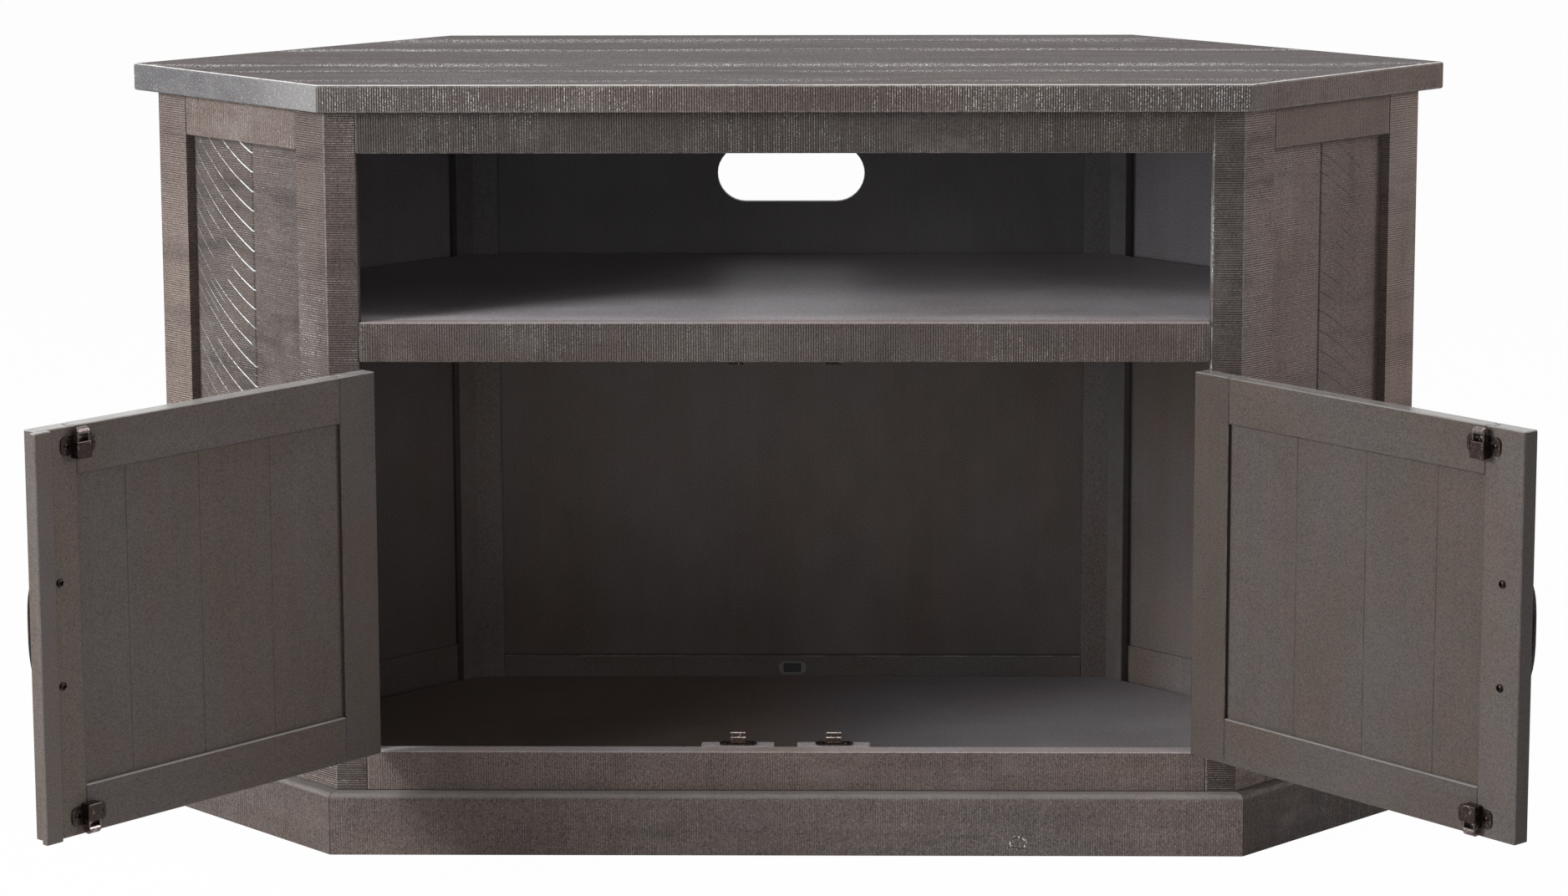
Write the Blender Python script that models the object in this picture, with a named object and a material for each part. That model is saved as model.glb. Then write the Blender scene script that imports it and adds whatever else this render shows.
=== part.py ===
"""Corner TV stand: six-sided framed cabinet, open upper bay, two inset doors standing open.

Metres. X is the width, Y runs from the face frame (y = 0) to the back, Z is up from the floor.
The rear walls meet the two walls of a room corner, so they stand at 45 degrees.
"""

import math

import bmesh
import bpy
from mathutils import Matrix, Vector

# Carcass in plan
FACE_WIDTH = 0.887
SIDE_WALL_LENGTH = 0.2694
CARCASS_DEPTH = 0.473
FACE_THICKNESS = 0.020
WALL_THICKNESS = 0.019
BACK_THICKNESS = 0.018

# Heights, stacked from the floor up
PLINTH_HEIGHT = 0.0616
BOTTOM_RAIL_HEIGHT = 0.0394
DOOR_OPENING_HEIGHT = 0.3894
SHELF_RAIL_HEIGHT = 0.0388
UPPER_OPENING_HEIGHT = 0.1652
TOP_RAIL_HEIGHT = 0.0400
TOP_THICKNESS = 0.027

# Top slab
TOP_FRONT_OVERHANG = 0.0095
TOP_SIDE_OVERHANG = 0.0106
TOP_REAR_OVERHANG = 0.0276
TOP_BACK_OVERHANG = 0.0225
TOP_EDGE_EASE = 0.0022

# Plinth
PLINTH_PROJECTION = 0.0145
PLINTH_THICKNESS = 0.022
PLINTH_EDGE_RADIUS = 0.0055

# Frames and panels of the walls
FACE_STILE_WIDTH = 0.0305
SIDE_STILE_WIDTH = 0.045
SIDE_PANEL_RECESS = 0.010
SIDE_PANEL_THICKNESS = 0.0087
SIDE_RABBET_WIDTH = 0.010
SIDE_PLANK_WIDTH = 0.084
BACK_STILE_WIDTH = 0.0285
BACK_RAIL_HEIGHT = 0.085
BACK_PANEL_THICKNESS = 0.009
REAR_STILE_WIDTH = 0.0205
REAR_PANEL_THICKNESS = 0.005
REAR_FOOT_THICKNESS = 0.008
REAR_FOOT_HEIGHT = 0.099
RABBET_WIDTH = 0.009
REAR_POST_RETURN = 0.034
GROOVE_WIDTH = 0.003
GROOVE_DEPTH = 0.0015

# Cable hole, a stadium through the back panel
CABLE_HOLE_WIDTH = 0.158
CABLE_HOLE_HEIGHT = 0.061
CABLE_HOLE_ABOVE_SHELF = 0.0555

# Shelf and floor boards
SHELF_THICKNESS = 0.018
FLOOR_THICKNESS = 0.015

# Doors
DOOR_HINGE_GAP = 0.003
DOOR_MEETING_GAP = 0.003
DOOR_TOP_GAP = 0.0058
DOOR_BOTTOM_GAP = 0.0034
DOOR_THICKNESS = 0.018
DOOR_STILE_WIDTH = 0.045
DOOR_RAIL_WIDTH = 0.045
DOOR_PANEL_THICKNESS = 0.007
DOOR_PANEL_RECESS = 0.0065
DOOR_PANEL_TONGUE = 0.006
DOOR_GROOVE_DEPTH = 0.007
DOOR_PLANKS = 4
DOOR_PLANK_WIDTH = 0.0867
DOOR_SEAM_WIDTH = 0.0014
DOOR_SEAM_DEPTH = 0.0007
DOOR_OPEN_ANGLE = math.radians(131)
ASTRAGAL_WIDTH = 0.019
ASTRAGAL_THICKNESS = 0.0072
ASTRAGAL_OVERHANG = 0.0076

# Butt hinges
HINGE_LENGTH = 0.050
HINGE_FROM_DOOR_END = 0.075
HINGE_BARREL_RADIUS = 0.0035
HINGE_PIN_RADIUS = 0.0014
HINGE_PIN_CLEARANCE = 0.00035
HINGE_PIN_SETBACK = 0.0005
HINGE_LEAF_THICKNESS = 0.001
HINGE_LEAF_DEPTH = 0.0159
HINGE_LEAF_SETBACK = 0.0001
HINGE_KNUCKLE_GAP = 0.00035

# Bow handles
HANDLE_SPACING = 0.096
HANDLE_WIDTH = 0.010
HANDLE_PROJECTION = 0.0255
HANDLE_THICKNESS = 0.0052
HANDLE_FOOT_LENGTH = 0.011
HANDLE_FROM_EDGE = 0.0215
HANDLE_FULLNESS = 2.8
HANDLE_EDGE_RADIUS = 0.0018
HANDLE_STEPS = 20

# Roller catches on the doors
CATCH_FROM_EDGE = 0.046
CATCH_BASE_LENGTH = 0.039
CATCH_BASE_THICKNESS = 0.0012
CATCH_WIDTH = 0.016
CATCH_WALL = 0.0009
CATCH_HOUSING_LENGTH = 0.0159
CATCH_PLATE_START = 0.009
CATCH_PLATE_WIDTH = 0.0175
CATCH_EAR_RADIUS = 0.0055
CATCH_TRAVEL = 0.0045
CATCH_SPRING_ROOM = 0.004
ROLLER_RADIUS = 0.004
ROLLER_FROM_DOOR_END = 0.0048
ROLLER_PROUD = 0.0006
CARRIAGE_PLAY = 0.00115
CARRIAGE_CHEEK = 0.0012
CARRIAGE_WEB = 0.0012

# Strikes on the cabinet and the pads that carry them
PAD_LENGTH = 0.0725
STRIKE_LENGTH = 0.0365
STRIKE_DEPTH = 0.0142
STRIKE_THICKNESS = 0.001
STRIKE_SETBACK = 0.0015
STRIKE_EAR_RADIUS = 0.005
TOP_STRIKE_RISE = 0.0035
HUMP_WIDTH = 0.015
HUMP_HEIGHT = 0.0112
HUMP_LEAN = 0.0016
HUMP_CREST_LENGTH = 0.0022
HUMP_FOOT_LENGTH = 0.0048
ROLLER_CLEARANCE = 0.002

# Clearance between touching pieces, the eased edge of every board, and how far a cutter runs past
SEAT = 0.0003
BOARD_EASE = 0.0009
EASED_ANGLE = math.radians(35)
CUT_PAST = 0.004

LEFT = -1
RIGHT = 1
SIDES = ((LEFT, "left"), (RIGHT, "right"))
DIAGONAL = math.sqrt(0.5)
TURN_PER_DEPTH = math.tan(math.radians(22.5))

# Heights that the pieces share
CARCASS_LOW = PLINTH_HEIGHT + SEAT
BOTTOM_RAIL_TOP = CARCASS_LOW + BOTTOM_RAIL_HEIGHT
SHELF_RAIL_LOW = BOTTOM_RAIL_TOP + DOOR_OPENING_HEIGHT
SHELF_TOP = SHELF_RAIL_LOW + SHELF_RAIL_HEIGHT
TOP_RAIL_LOW = SHELF_TOP + UPPER_OPENING_HEIGHT
CARCASS_TOP = TOP_RAIL_LOW + TOP_RAIL_HEIGHT
SLAB_LOW = CARCASS_TOP + SEAT
DOOR_LOW = BOTTOM_RAIL_TOP + DOOR_BOTTOM_GAP
DOOR_HIGH = SHELF_RAIL_LOW - DOOR_TOP_GAP
DOOR_MIDDLE = (DOOR_LOW + DOOR_HIGH) / 2
FLOOR_TOP = CARCASS_LOW - SEAT

# Depth of the plinth boards' inner faces behind the carcass faces, with the clearance
INSIDE_PLINTH = PLINTH_THICKNESS - PLINTH_PROJECTION + SEAT

# Hinge axis, in front of the gap between door and stile
OPENING_HALF = FACE_WIDTH / 2 - FACE_STILE_WIDTH
PIN_X = OPENING_HALF - DOOR_HINGE_GAP / 2
PIN_Y = -HINGE_BARREL_RADIUS - SEAT
DOOR_EDGE = DOOR_HINGE_GAP / 2
DOOR_WIDTH = OPENING_HALF - DOOR_HINGE_GAP - DOOR_MEETING_GAP / 2
DOOR_FREE = DOOR_EDGE + DOOR_WIDTH
DOOR_FRONT = -PIN_Y
DOOR_BACK = DOOR_FRONT + DOOR_THICKNESS

# Catches, measured from the door's end and from its inner face, round the roller they carry
CARRIAGE_HEIGHT = 2 * (ROLLER_RADIUS - ROLLER_PROUD)
CATCH_FLOOR = SEAT + CATCH_BASE_THICKNESS
CATCH_CEILING = CATCH_FLOOR + CARRIAGE_HEIGHT + 2 * CARRIAGE_PLAY
CATCH_PROJECTION = CATCH_CEILING + CATCH_WALL
CATCH_START = ROLLER_FROM_DOOR_END + ROLLER_RADIUS + CATCH_TRAVEL + SEAT
CATCH_END = CATCH_START + CATCH_HOUSING_LENGTH
CARRIAGE_END = CATCH_END - CATCH_WALL - CATCH_TRAVEL - CATCH_SPRING_ROOM
ROLLER_LIFT = (CATCH_FLOOR + CATCH_CEILING) / 2

# Strikes, behind the rails and clear of the closed door's rollers
STRIKE_BOARD_DEPTH = STRIKE_DEPTH + 2 * STRIKE_SETBACK
STRIKE_FRONT = FACE_THICKNESS + SEAT + STRIKE_SETBACK
TOP_STRIKE_HIGH = SHELF_RAIL_LOW + TOP_STRIKE_RISE - SEAT
HUMP_START = DOOR_THICKNESS + ROLLER_LIFT + ROLLER_RADIUS + ROLLER_CLEARANCE - STRIKE_FRONT


def clear_scene():
    for item in list(bpy.data.objects):
        bpy.data.objects.remove(item, do_unlink=True)


def material(name, color, roughness, metallic=0.0):
    made = bpy.data.materials.new(name)
    made.use_nodes = True
    shader = made.node_tree.nodes["Principled BSDF"]
    shader.inputs["Base Color"].default_value = (*color, 1.0)
    shader.inputs["Roughness"].default_value = roughness
    shader.inputs["Metallic"].default_value = metallic
    return made


class Wall:
    """A wall in plan: distances run along it from its outer corner, and inward from its face."""

    def __init__(self, corner, along, inward):
        self.corner = Vector(corner)
        self.along = Vector(along)
        self.inward = Vector(inward)

    def at(self, along, inward):
        return self.corner + self.along * along + self.inward * inward


SIDE_WALL = Wall((FACE_WIDTH / 2, 0), (DIAGONAL, DIAGONAL), (-DIAGONAL, DIAGONAL))
SIDE_END = SIDE_WALL.at(SIDE_WALL_LENGTH, 0)
REAR_WALL = Wall(SIDE_END, (-DIAGONAL, DIAGONAL), (-DIAGONAL, -DIAGONAL))
REAR_WALL_LENGTH = (CARCASS_DEPTH - SIDE_END.y) / DIAGONAL
BACK_CORNER = REAR_WALL.at(REAR_WALL_LENGTH, 0)


def crossing(first, first_inward, second, second_inward):
    """Where two walls' faces cross, each moved inward by its own distance."""
    start = first.at(0, first_inward)
    other = second.at(0, second_inward)
    turn = first.along.x * second.along.y - first.along.y * second.along.x
    step = other - start
    reach = (step.x * second.along.y - step.y * second.along.x) / turn
    return start + first.along * reach


FACE = Wall((0, 0), (1, 0), (0, 1))
BACK = Wall((BACK_CORNER.x, CARCASS_DEPTH), (-1, 0), (0, -1))


def link(name, mesh_data, finish, origin, parent=None):
    """An object whose mesh is moved to stand round its own origin."""
    mesh_data.transform(Matrix.Translation(-Vector(origin)))
    made = bpy.data.objects.new(name, mesh_data)
    made.location = origin
    made.parent = parent
    bpy.context.scene.collection.objects.link(made)
    made.data.materials.append(finish)
    return made


def extrusion(name, outline, length, placing, finish, parent=None):
    """A closed outline in the placing's XY plane, extruded along its Z."""
    form = bmesh.new()
    ring = [form.verts.new((point[0], point[1], 0)) for point in outline]
    base = form.faces.new(ring)
    lifted = bmesh.ops.extrude_face_region(form, geom=[base])
    moved = [item for item in lifted["geom"] if isinstance(item, bmesh.types.BMVert)]
    bmesh.ops.translate(form, verts=moved, vec=(0, 0, length))
    form.transform(placing)
    bmesh.ops.recalc_face_normals(form, faces=form.faces)
    mesh_data = bpy.data.meshes.new(name)
    form.to_mesh(mesh_data)
    form.free()
    corners = [vertex.co for vertex in mesh_data.vertices]
    middle = sum(corners, Vector()) / len(corners)
    return link(name, mesh_data, finish, middle, parent)


def prism(name, outline, low, high, finish, side=RIGHT, parent=None):
    """An upright piece: an outline in plan, between two heights, mirrored for the left side."""
    mirrored = [(point[0] * side, point[1]) for point in outline]
    return extrusion(name, mirrored, high - low, Matrix.Translation((0, 0, low)), finish, parent)


def frame_matrix(origin, x_axis, y_axis, z_axis):
    """A matrix from an origin and three axes given as vectors."""
    rows = [(x_axis[i], y_axis[i], z_axis[i], origin[i]) for i in range(3)]
    return Matrix((*rows, (0, 0, 0, 1)))


def rectangle(x_low, x_high, y_low, y_high):
    return [(x_low, y_low), (x_high, y_low), (x_high, y_high), (x_low, y_high)]


def ease(piece, width=BOARD_EASE, segments=1):
    """Break a piece's outward edges; inward ones, such as a rabbet's, stay square."""
    form = bmesh.new()
    form.from_mesh(piece.data)
    weight = form.edges.layers.float.new("bevel_weight_edge")
    for edge in form.edges:
        if edge.is_convex and edge.calc_face_angle() > EASED_ANGLE:
            edge[weight] = 1.0
    form.to_mesh(piece.data)
    form.free()
    bevel = piece.modifiers.new("eased_edges", "BEVEL")
    bevel.width = width
    bevel.segments = segments
    bevel.limit_method = "WEIGHT"
    return piece


def combine(body, tool, operation):
    """Join a tool to a body, or cut it out, and keep the result as the body's own mesh."""
    change = body.modifiers.new("combine", "BOOLEAN")
    change.operation = operation
    change.object = tool
    change.solver = "EXACT"
    bpy.context.view_layer.update()
    seen = body.evaluated_get(bpy.context.evaluated_depsgraph_get())
    result = bpy.data.meshes.new_from_object(seen)
    body.modifiers.clear()
    body.data = result
    bpy.data.objects.remove(tool, do_unlink=True)
    return body


def arc(center, radius, start, stop, steps):
    """Points on an arc between two angles, ends included."""
    turns = [start + (stop - start) * i / steps for i in range(steps + 1)]
    return [(center[0] + radius * math.cos(t), center[1] + radius * math.sin(t)) for t in turns]


def circle(radius, sides):
    """A full circle round the origin as a closed outline."""
    return arc((0, 0), radius, 0, math.tau * (sides - 1) / sides, sides - 1)


def rounded_plate(half_length, low, high, radius, steps=4):
    """A plate's outline with its four corners rounded."""
    right = half_length - radius
    corners = (
        ((right, low + radius), -90),
        ((right, high - radius), 0),
        ((-right, high - radius), 90),
        ((-right, low + radius), 180),
    )
    outline = []
    for center, turn in corners:
        start = math.radians(turn)
        outline += arc(center, radius, start, start + math.pi / 2, steps)
    return outline


def notched_line(start, end, inward, joints, width, depth):
    """Points from start to end with a V groove cut inward at each distance in joints."""
    along = (end - start).normalized()
    points = [start]
    for joint in joints:
        points.append(start + along * (joint - width / 2))
        points.append(start + along * joint + inward * depth)
        points.append(start + along * (joint + width / 2))
    points.append(end)
    return points


def slab(finish):
    """The six-sided top, overhanging each wall by its own amount."""
    front = Wall((0, -TOP_FRONT_OVERHANG), (1, 0), (0, 1))
    back = Wall((0, CARCASS_DEPTH + TOP_BACK_OVERHANG), (1, 0), (0, -1))
    corners = (
        crossing(front, 0, SIDE_WALL, -TOP_SIDE_OVERHANG),
        crossing(SIDE_WALL, -TOP_SIDE_OVERHANG, REAR_WALL, -TOP_REAR_OVERHANG),
        crossing(REAR_WALL, -TOP_REAR_OVERHANG, back, 0),
    )
    outline = [tuple(corner) for corner in corners]
    outline += [(-corner.x, corner.y) for corner in reversed(corners)]
    top = prism("top_slab", outline, SLAB_LOW, SLAB_LOW + TOP_THICKNESS, finish)
    ease(top, TOP_EDGE_EASE, 2)


def face_frame(finish):
    """The mitred front posts and the three rails between them."""
    inner_corner = crossing(FACE, FACE_THICKNESS, SIDE_WALL, WALL_THICKNESS)
    rabbet_start = SIDE_STILE_WIDTH - SIDE_RABBET_WIDTH
    outline = [
        (OPENING_HALF, 0),
        SIDE_WALL.at(0, 0),
        SIDE_WALL.at(SIDE_STILE_WIDTH, 0),
        SIDE_WALL.at(SIDE_STILE_WIDTH, SIDE_PANEL_RECESS),
        SIDE_WALL.at(rabbet_start, SIDE_PANEL_RECESS),
        SIDE_WALL.at(rabbet_start, WALL_THICKNESS),
        inner_corner,
        (OPENING_HALF, FACE_THICKNESS),
    ]
    for side, word in SIDES:
        ease(prism(f"front_post_{word}", outline, CARCASS_LOW, CARCASS_TOP, finish, side))
    half = OPENING_HALF - SEAT
    rails = (
        ("bottom_rail", CARCASS_LOW, BOTTOM_RAIL_TOP),
        ("shelf_rail", SHELF_RAIL_LOW, SHELF_TOP),
        ("top_rail", TOP_RAIL_LOW, CARCASS_TOP),
    )
    for name, low, high in rails:
        ease(prism(name, rectangle(-half, half, 0, FACE_THICKNESS), low, high, finish))


def side_walls(finish):
    """Framed front side walls: rear stile with its return, two rails and a plank panel."""
    frame_end = SIDE_WALL_LENGTH - SIDE_STILE_WIDTH
    rear_outline = [
        SIDE_WALL.at(frame_end, 0),
        SIDE_WALL.at(SIDE_WALL_LENGTH, 0),
        REAR_WALL.at(REAR_POST_RETURN - RABBET_WIDTH, 0),
        REAR_WALL.at(REAR_POST_RETURN - RABBET_WIDTH, REAR_FOOT_THICKNESS + SEAT),
        REAR_WALL.at(REAR_POST_RETURN, REAR_FOOT_THICKNESS + SEAT),
        REAR_WALL.at(REAR_POST_RETURN, WALL_THICKNESS),
        crossing(SIDE_WALL, WALL_THICKNESS, REAR_WALL, WALL_THICKNESS),
        SIDE_WALL.at(frame_end + SIDE_RABBET_WIDTH, WALL_THICKNESS),
        SIDE_WALL.at(frame_end + SIDE_RABBET_WIDTH, SIDE_PANEL_RECESS),
        SIDE_WALL.at(frame_end, SIDE_PANEL_RECESS),
    ]
    foot_outline = [
        REAR_WALL.at(INSIDE_PLINTH, 0),
        REAR_WALL.at(REAR_POST_RETURN - RABBET_WIDTH, 0),
        REAR_WALL.at(REAR_POST_RETURN - RABBET_WIDTH, REAR_FOOT_THICKNESS + SEAT),
        REAR_WALL.at(REAR_POST_RETURN, REAR_FOOT_THICKNESS + SEAT),
        REAR_WALL.at(REAR_POST_RETURN, WALL_THICKNESS),
        REAR_WALL.at(INSIDE_PLINTH, WALL_THICKNESS),
    ]
    rail_start = SIDE_STILE_WIDTH + SEAT
    rail_end = frame_end - SEAT
    rail_outline = [
        SIDE_WALL.at(rail_start, 0),
        SIDE_WALL.at(rail_end, 0),
        SIDE_WALL.at(rail_end, WALL_THICKNESS),
        SIDE_WALL.at(rail_start, WALL_THICKNESS),
    ]
    panel_start = SIDE_STILE_WIDTH - SIDE_RABBET_WIDTH + SEAT
    panel_end = frame_end + SIDE_RABBET_WIDTH - SEAT
    panel_face = SIDE_PANEL_RECESS + SEAT
    planks = [SIDE_STILE_WIDTH + SIDE_PLANK_WIDTH - panel_start]
    panel_outline = notched_line(
        SIDE_WALL.at(panel_start, panel_face),
        SIDE_WALL.at(panel_end, panel_face),
        SIDE_WALL.inward,
        planks,
        GROOVE_WIDTH,
        GROOVE_DEPTH,
    )
    panel_outline += [
        SIDE_WALL.at(panel_end, panel_face + SIDE_PANEL_THICKNESS),
        SIDE_WALL.at(panel_start, panel_face + SIDE_PANEL_THICKNESS),
    ]
    low = BOTTOM_RAIL_TOP + SEAT
    high = TOP_RAIL_LOW - SEAT
    rails = (("bottom", CARCASS_LOW, BOTTOM_RAIL_TOP), ("top", TOP_RAIL_LOW, CARCASS_TOP))
    for side, word in SIDES:
        stile = prism(f"side_rear_stile_{word}", rear_outline, CARCASS_LOW, CARCASS_TOP, finish, side)
        foot = prism("foot", foot_outline, 0, BOTTOM_RAIL_TOP, finish, side)
        ease(combine(stile, foot, "UNION"))
        for place, rail_low, rail_high in rails:
            rail = prism(f"side_{place}_rail_{word}", rail_outline, rail_low, rail_high, finish, side)
            ease(rail)
        prism(f"side_panel_{word}", panel_outline, low, high, finish, side)


def rear_walls(finish):
    """Back corner posts, and the rear side panels with their thicker foot."""
    stile_start = REAR_WALL_LENGTH - REAR_STILE_WIDTH - WALL_THICKNESS * TURN_PER_DEPTH
    stile_end = BACK_STILE_WIDTH + BACK_THICKNESS * TURN_PER_DEPTH
    rabbet = BACK_PANEL_THICKNESS + SEAT
    foot_clear = REAR_FOOT_THICKNESS + SEAT
    outline = [
        BACK_CORNER,
        REAR_WALL.at(stile_start + RABBET_WIDTH, 0),
        REAR_WALL.at(stile_start + RABBET_WIDTH, foot_clear),
        REAR_WALL.at(stile_start, foot_clear),
        REAR_WALL.at(stile_start, WALL_THICKNESS),
        crossing(REAR_WALL, WALL_THICKNESS, BACK, BACK_THICKNESS),
        BACK.at(stile_end, BACK_THICKNESS),
        BACK.at(stile_end, rabbet),
        BACK.at(stile_end - RABBET_WIDTH, rabbet),
        BACK.at(stile_end - RABBET_WIDTH, 0),
    ]
    start = REAR_POST_RETURN - RABBET_WIDTH + SEAT
    end = stile_start + RABBET_WIDTH - SEAT
    profile = [
        (0, 0),
        (REAR_FOOT_THICKNESS, 0),
        (REAR_FOOT_THICKNESS, REAR_FOOT_HEIGHT),
        (REAR_PANEL_THICKNESS, REAR_FOOT_HEIGHT),
        (REAR_PANEL_THICKNESS, CARCASS_TOP),
        (0, CARCASS_TOP),
    ]
    for side, word in SIDES:
        ease(prism(f"back_post_{word}", outline, 0, CARCASS_TOP, finish, side))
        inward = Vector((REAR_WALL.inward.x * side, REAR_WALL.inward.y, 0))
        along = Vector((REAR_WALL.along.x * side, REAR_WALL.along.y, 0))
        corner = REAR_WALL.at(start, 0)
        placing = frame_matrix((corner.x * side, corner.y, 0), inward, Vector((0, 0, 1)), along)
        extrusion(f"rear_panel_{word}", profile, end - start, placing, finish)


def back_wall(finish):
    """The rail and the panel between the back posts, with the cable hole."""
    stile_end = BACK_STILE_WIDTH + BACK_THICKNESS * TURN_PER_DEPTH
    half = BACK.at(stile_end, 0).x
    outer = CARCASS_DEPTH
    inner = CARCASS_DEPTH - BACK_THICKNESS
    panel_inner = outer - BACK_PANEL_THICKNESS
    rail = rectangle(-half + SEAT, half - SEAT, inner, panel_inner - SEAT)
    ease(prism("back_rail", rail, 0, BACK_RAIL_HEIGHT, finish))
    panel_half = half + RABBET_WIDTH - SEAT
    panel_plan = rectangle(-panel_half, panel_half, panel_inner, outer)
    panel = prism("back_panel", panel_plan, 0, CARCASS_TOP, finish)
    radius = CABLE_HOLE_HEIGHT / 2
    straight = CABLE_HOLE_WIDTH / 2 - radius
    hole = arc((straight, 0), radius, -math.pi / 2, math.pi / 2, 16)
    hole += arc((-straight, 0), radius, math.pi / 2, math.pi * 1.5, 16)
    height = SHELF_TOP + CABLE_HOLE_ABOVE_SHELF + radius
    start = (0, outer + CUT_PAST, height)
    placing = frame_matrix(start, (1, 0, 0), (0, 0, 1), (0, -1, 0))
    cutter = extrusion("cable_hole", hole, BACK_PANEL_THICKNESS + 2 * CUT_PAST, placing, finish)
    combine(panel, cutter, "DIFFERENCE")


def inner_boards(finish):
    """The shelf with its front cleat, and the cabinet floor inside the plinth."""
    behind_face = Wall((0, FACE_THICKNESS + SEAT), (1, 0), (0, 1))
    before_back = Wall((0, CARCASS_DEPTH - BACK_THICKNESS - SEAT), (1, 0), (0, -1))
    lining = WALL_THICKNESS + SEAT
    corners = (
        crossing(behind_face, 0, SIDE_WALL, lining),
        crossing(SIDE_WALL, lining, REAR_WALL, lining),
        crossing(REAR_WALL, lining, before_back, 0),
    )
    outline = [tuple(corner) for corner in corners]
    outline += [(-corner.x, corner.y) for corner in reversed(corners)]
    shelf = prism("shelf", outline, SHELF_TOP - SHELF_THICKNESS, SHELF_TOP, finish)
    cleat_half = corners[0].x
    cleat_front = FACE_THICKNESS + SEAT
    cleat_top = SHELF_TOP - SHELF_THICKNESS / 2
    cleat_plan = rectangle(-cleat_half, cleat_half, cleat_front, cleat_front + STRIKE_BOARD_DEPTH)
    cleat = prism("cleat", cleat_plan, TOP_STRIKE_HIGH + SEAT, cleat_top, finish)
    combine(shelf, cleat, "UNION")
    floor_front = Wall((0, INSIDE_PLINTH), (1, 0), (0, 1))
    floor_corners = (
        crossing(floor_front, 0, SIDE_WALL, INSIDE_PLINTH),
        crossing(SIDE_WALL, INSIDE_PLINTH, REAR_WALL, lining),
        crossing(REAR_WALL, lining, before_back, 0),
    )
    floor = [tuple(corner) for corner in floor_corners]
    floor += [(-corner.x, corner.y) for corner in reversed(floor_corners)]
    prism("floor_panel", floor, FLOOR_TOP - FLOOR_THICKNESS, FLOOR_TOP, finish)


def plinth_profile():
    """Depth and height of a plinth board, its outer top edge rounded."""
    center = (PLINTH_EDGE_RADIUS, PLINTH_HEIGHT - PLINTH_EDGE_RADIUS)
    rounding = arc(center, PLINTH_EDGE_RADIUS, math.pi, math.pi / 2, 5)
    return [(PLINTH_THICKNESS, 0), (0, 0), *rounding, (PLINTH_THICKNESS, PLINTH_HEIGHT)]


def mitred_board(name, start, end, finish, side):
    """A plinth board swept between two plan lines, each a function of the depth into the board."""
    profile = plinth_profile()
    form = bmesh.new()
    rings = []
    for plan in (start, end):
        points = [(plan(depth), height) for depth, height in profile]
        rings.append([form.verts.new((spot.x * side, spot.y, height)) for spot, height in points])
    count = len(profile)
    form.faces.new(rings[0])
    form.faces.new(rings[1])
    for i in range(count):
        j = (i + 1) % count
        form.faces.new((rings[0][i], rings[0][j], rings[1][j], rings[1][i]))
    bmesh.ops.recalc_face_normals(form, faces=form.faces)
    mesh_data = bpy.data.meshes.new(name)
    form.to_mesh(mesh_data)
    form.free()
    corners = [vertex.co for vertex in mesh_data.vertices]
    return link(name, mesh_data, finish, sum(corners, Vector()) / len(corners))


def plinth(finish):
    """The front and side plinth boards, mitred at the front corners."""
    def corner(depth):
        inward = depth - PLINTH_PROJECTION
        return crossing(FACE, inward, SIDE_WALL, inward)

    def front_left(depth):
        spot = corner(depth)
        return Vector((-spot.x + SEAT, spot.y))

    def front_right(depth):
        spot = corner(depth)
        return Vector((spot.x - SEAT, spot.y))

    def side_start(depth):
        return corner(depth) + SIDE_WALL.along * SEAT

    def side_end(depth):
        return SIDE_WALL.at(SIDE_WALL_LENGTH, depth - PLINTH_PROJECTION)

    mitred_board("plinth_front", front_left, front_right, finish, RIGHT)
    for side, word in SIDES:
        mitred_board(f"plinth_{word}", side_start, side_end, finish, side)


def strike(name, location, turned, finish):
    """A strike plate with rounded ears and an upright hump that the roller meets."""
    plan = rounded_plate(STRIKE_LENGTH / 2, 0, STRIKE_DEPTH, STRIKE_EAR_RADIUS)
    plate = extrusion(name, plan, STRIKE_THICKNESS, Matrix.Identity(4), finish)
    crest = HUMP_START + HUMP_LEAN
    hump = [
        (HUMP_START, STRIKE_THICKNESS / 2),
        (HUMP_START + HUMP_FOOT_LENGTH, STRIKE_THICKNESS / 2),
        (crest + HUMP_CREST_LENGTH, HUMP_HEIGHT),
        (crest, HUMP_HEIGHT),
    ]
    placing = frame_matrix((-HUMP_WIDTH / 2, 0, 0), (0, 1, 0), (0, 0, 1), (1, 0, 0))
    tab = extrusion("tab", hump, HUMP_WIDTH, placing, finish)
    combine(plate, tab, "UNION")
    plate.data.transform(Matrix.Translation(plate.location))
    plate.location = location
    plate.rotation_euler.y = math.pi if turned else 0
    return plate


def strikes(pad_finish, metal):
    """Pads behind the bottom rail, and the strikes on the pads and under the shelf cleat."""
    strike_x = OPENING_HALF - DOOR_HINGE_GAP - DOOR_WIDTH + CATCH_FROM_EDGE
    pad_front = FACE_THICKNESS + SEAT
    for side, word in SIDES:
        center = strike_x * side
        pad_left = center - PAD_LENGTH / 2
        plan = rectangle(pad_left, pad_left + PAD_LENGTH, pad_front, pad_front + STRIKE_BOARD_DEPTH)
        ease(prism(f"strike_pad_{word}", plan, FLOOR_TOP + SEAT, BOTTOM_RAIL_TOP, pad_finish))
        low = (center, STRIKE_FRONT, BOTTOM_RAIL_TOP + SEAT)
        high = (center, STRIKE_FRONT, TOP_STRIKE_HIGH)
        strike(f"strike_bottom_{word}", low, False, metal)
        strike(f"strike_top_{word}", high, True, metal)


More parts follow.
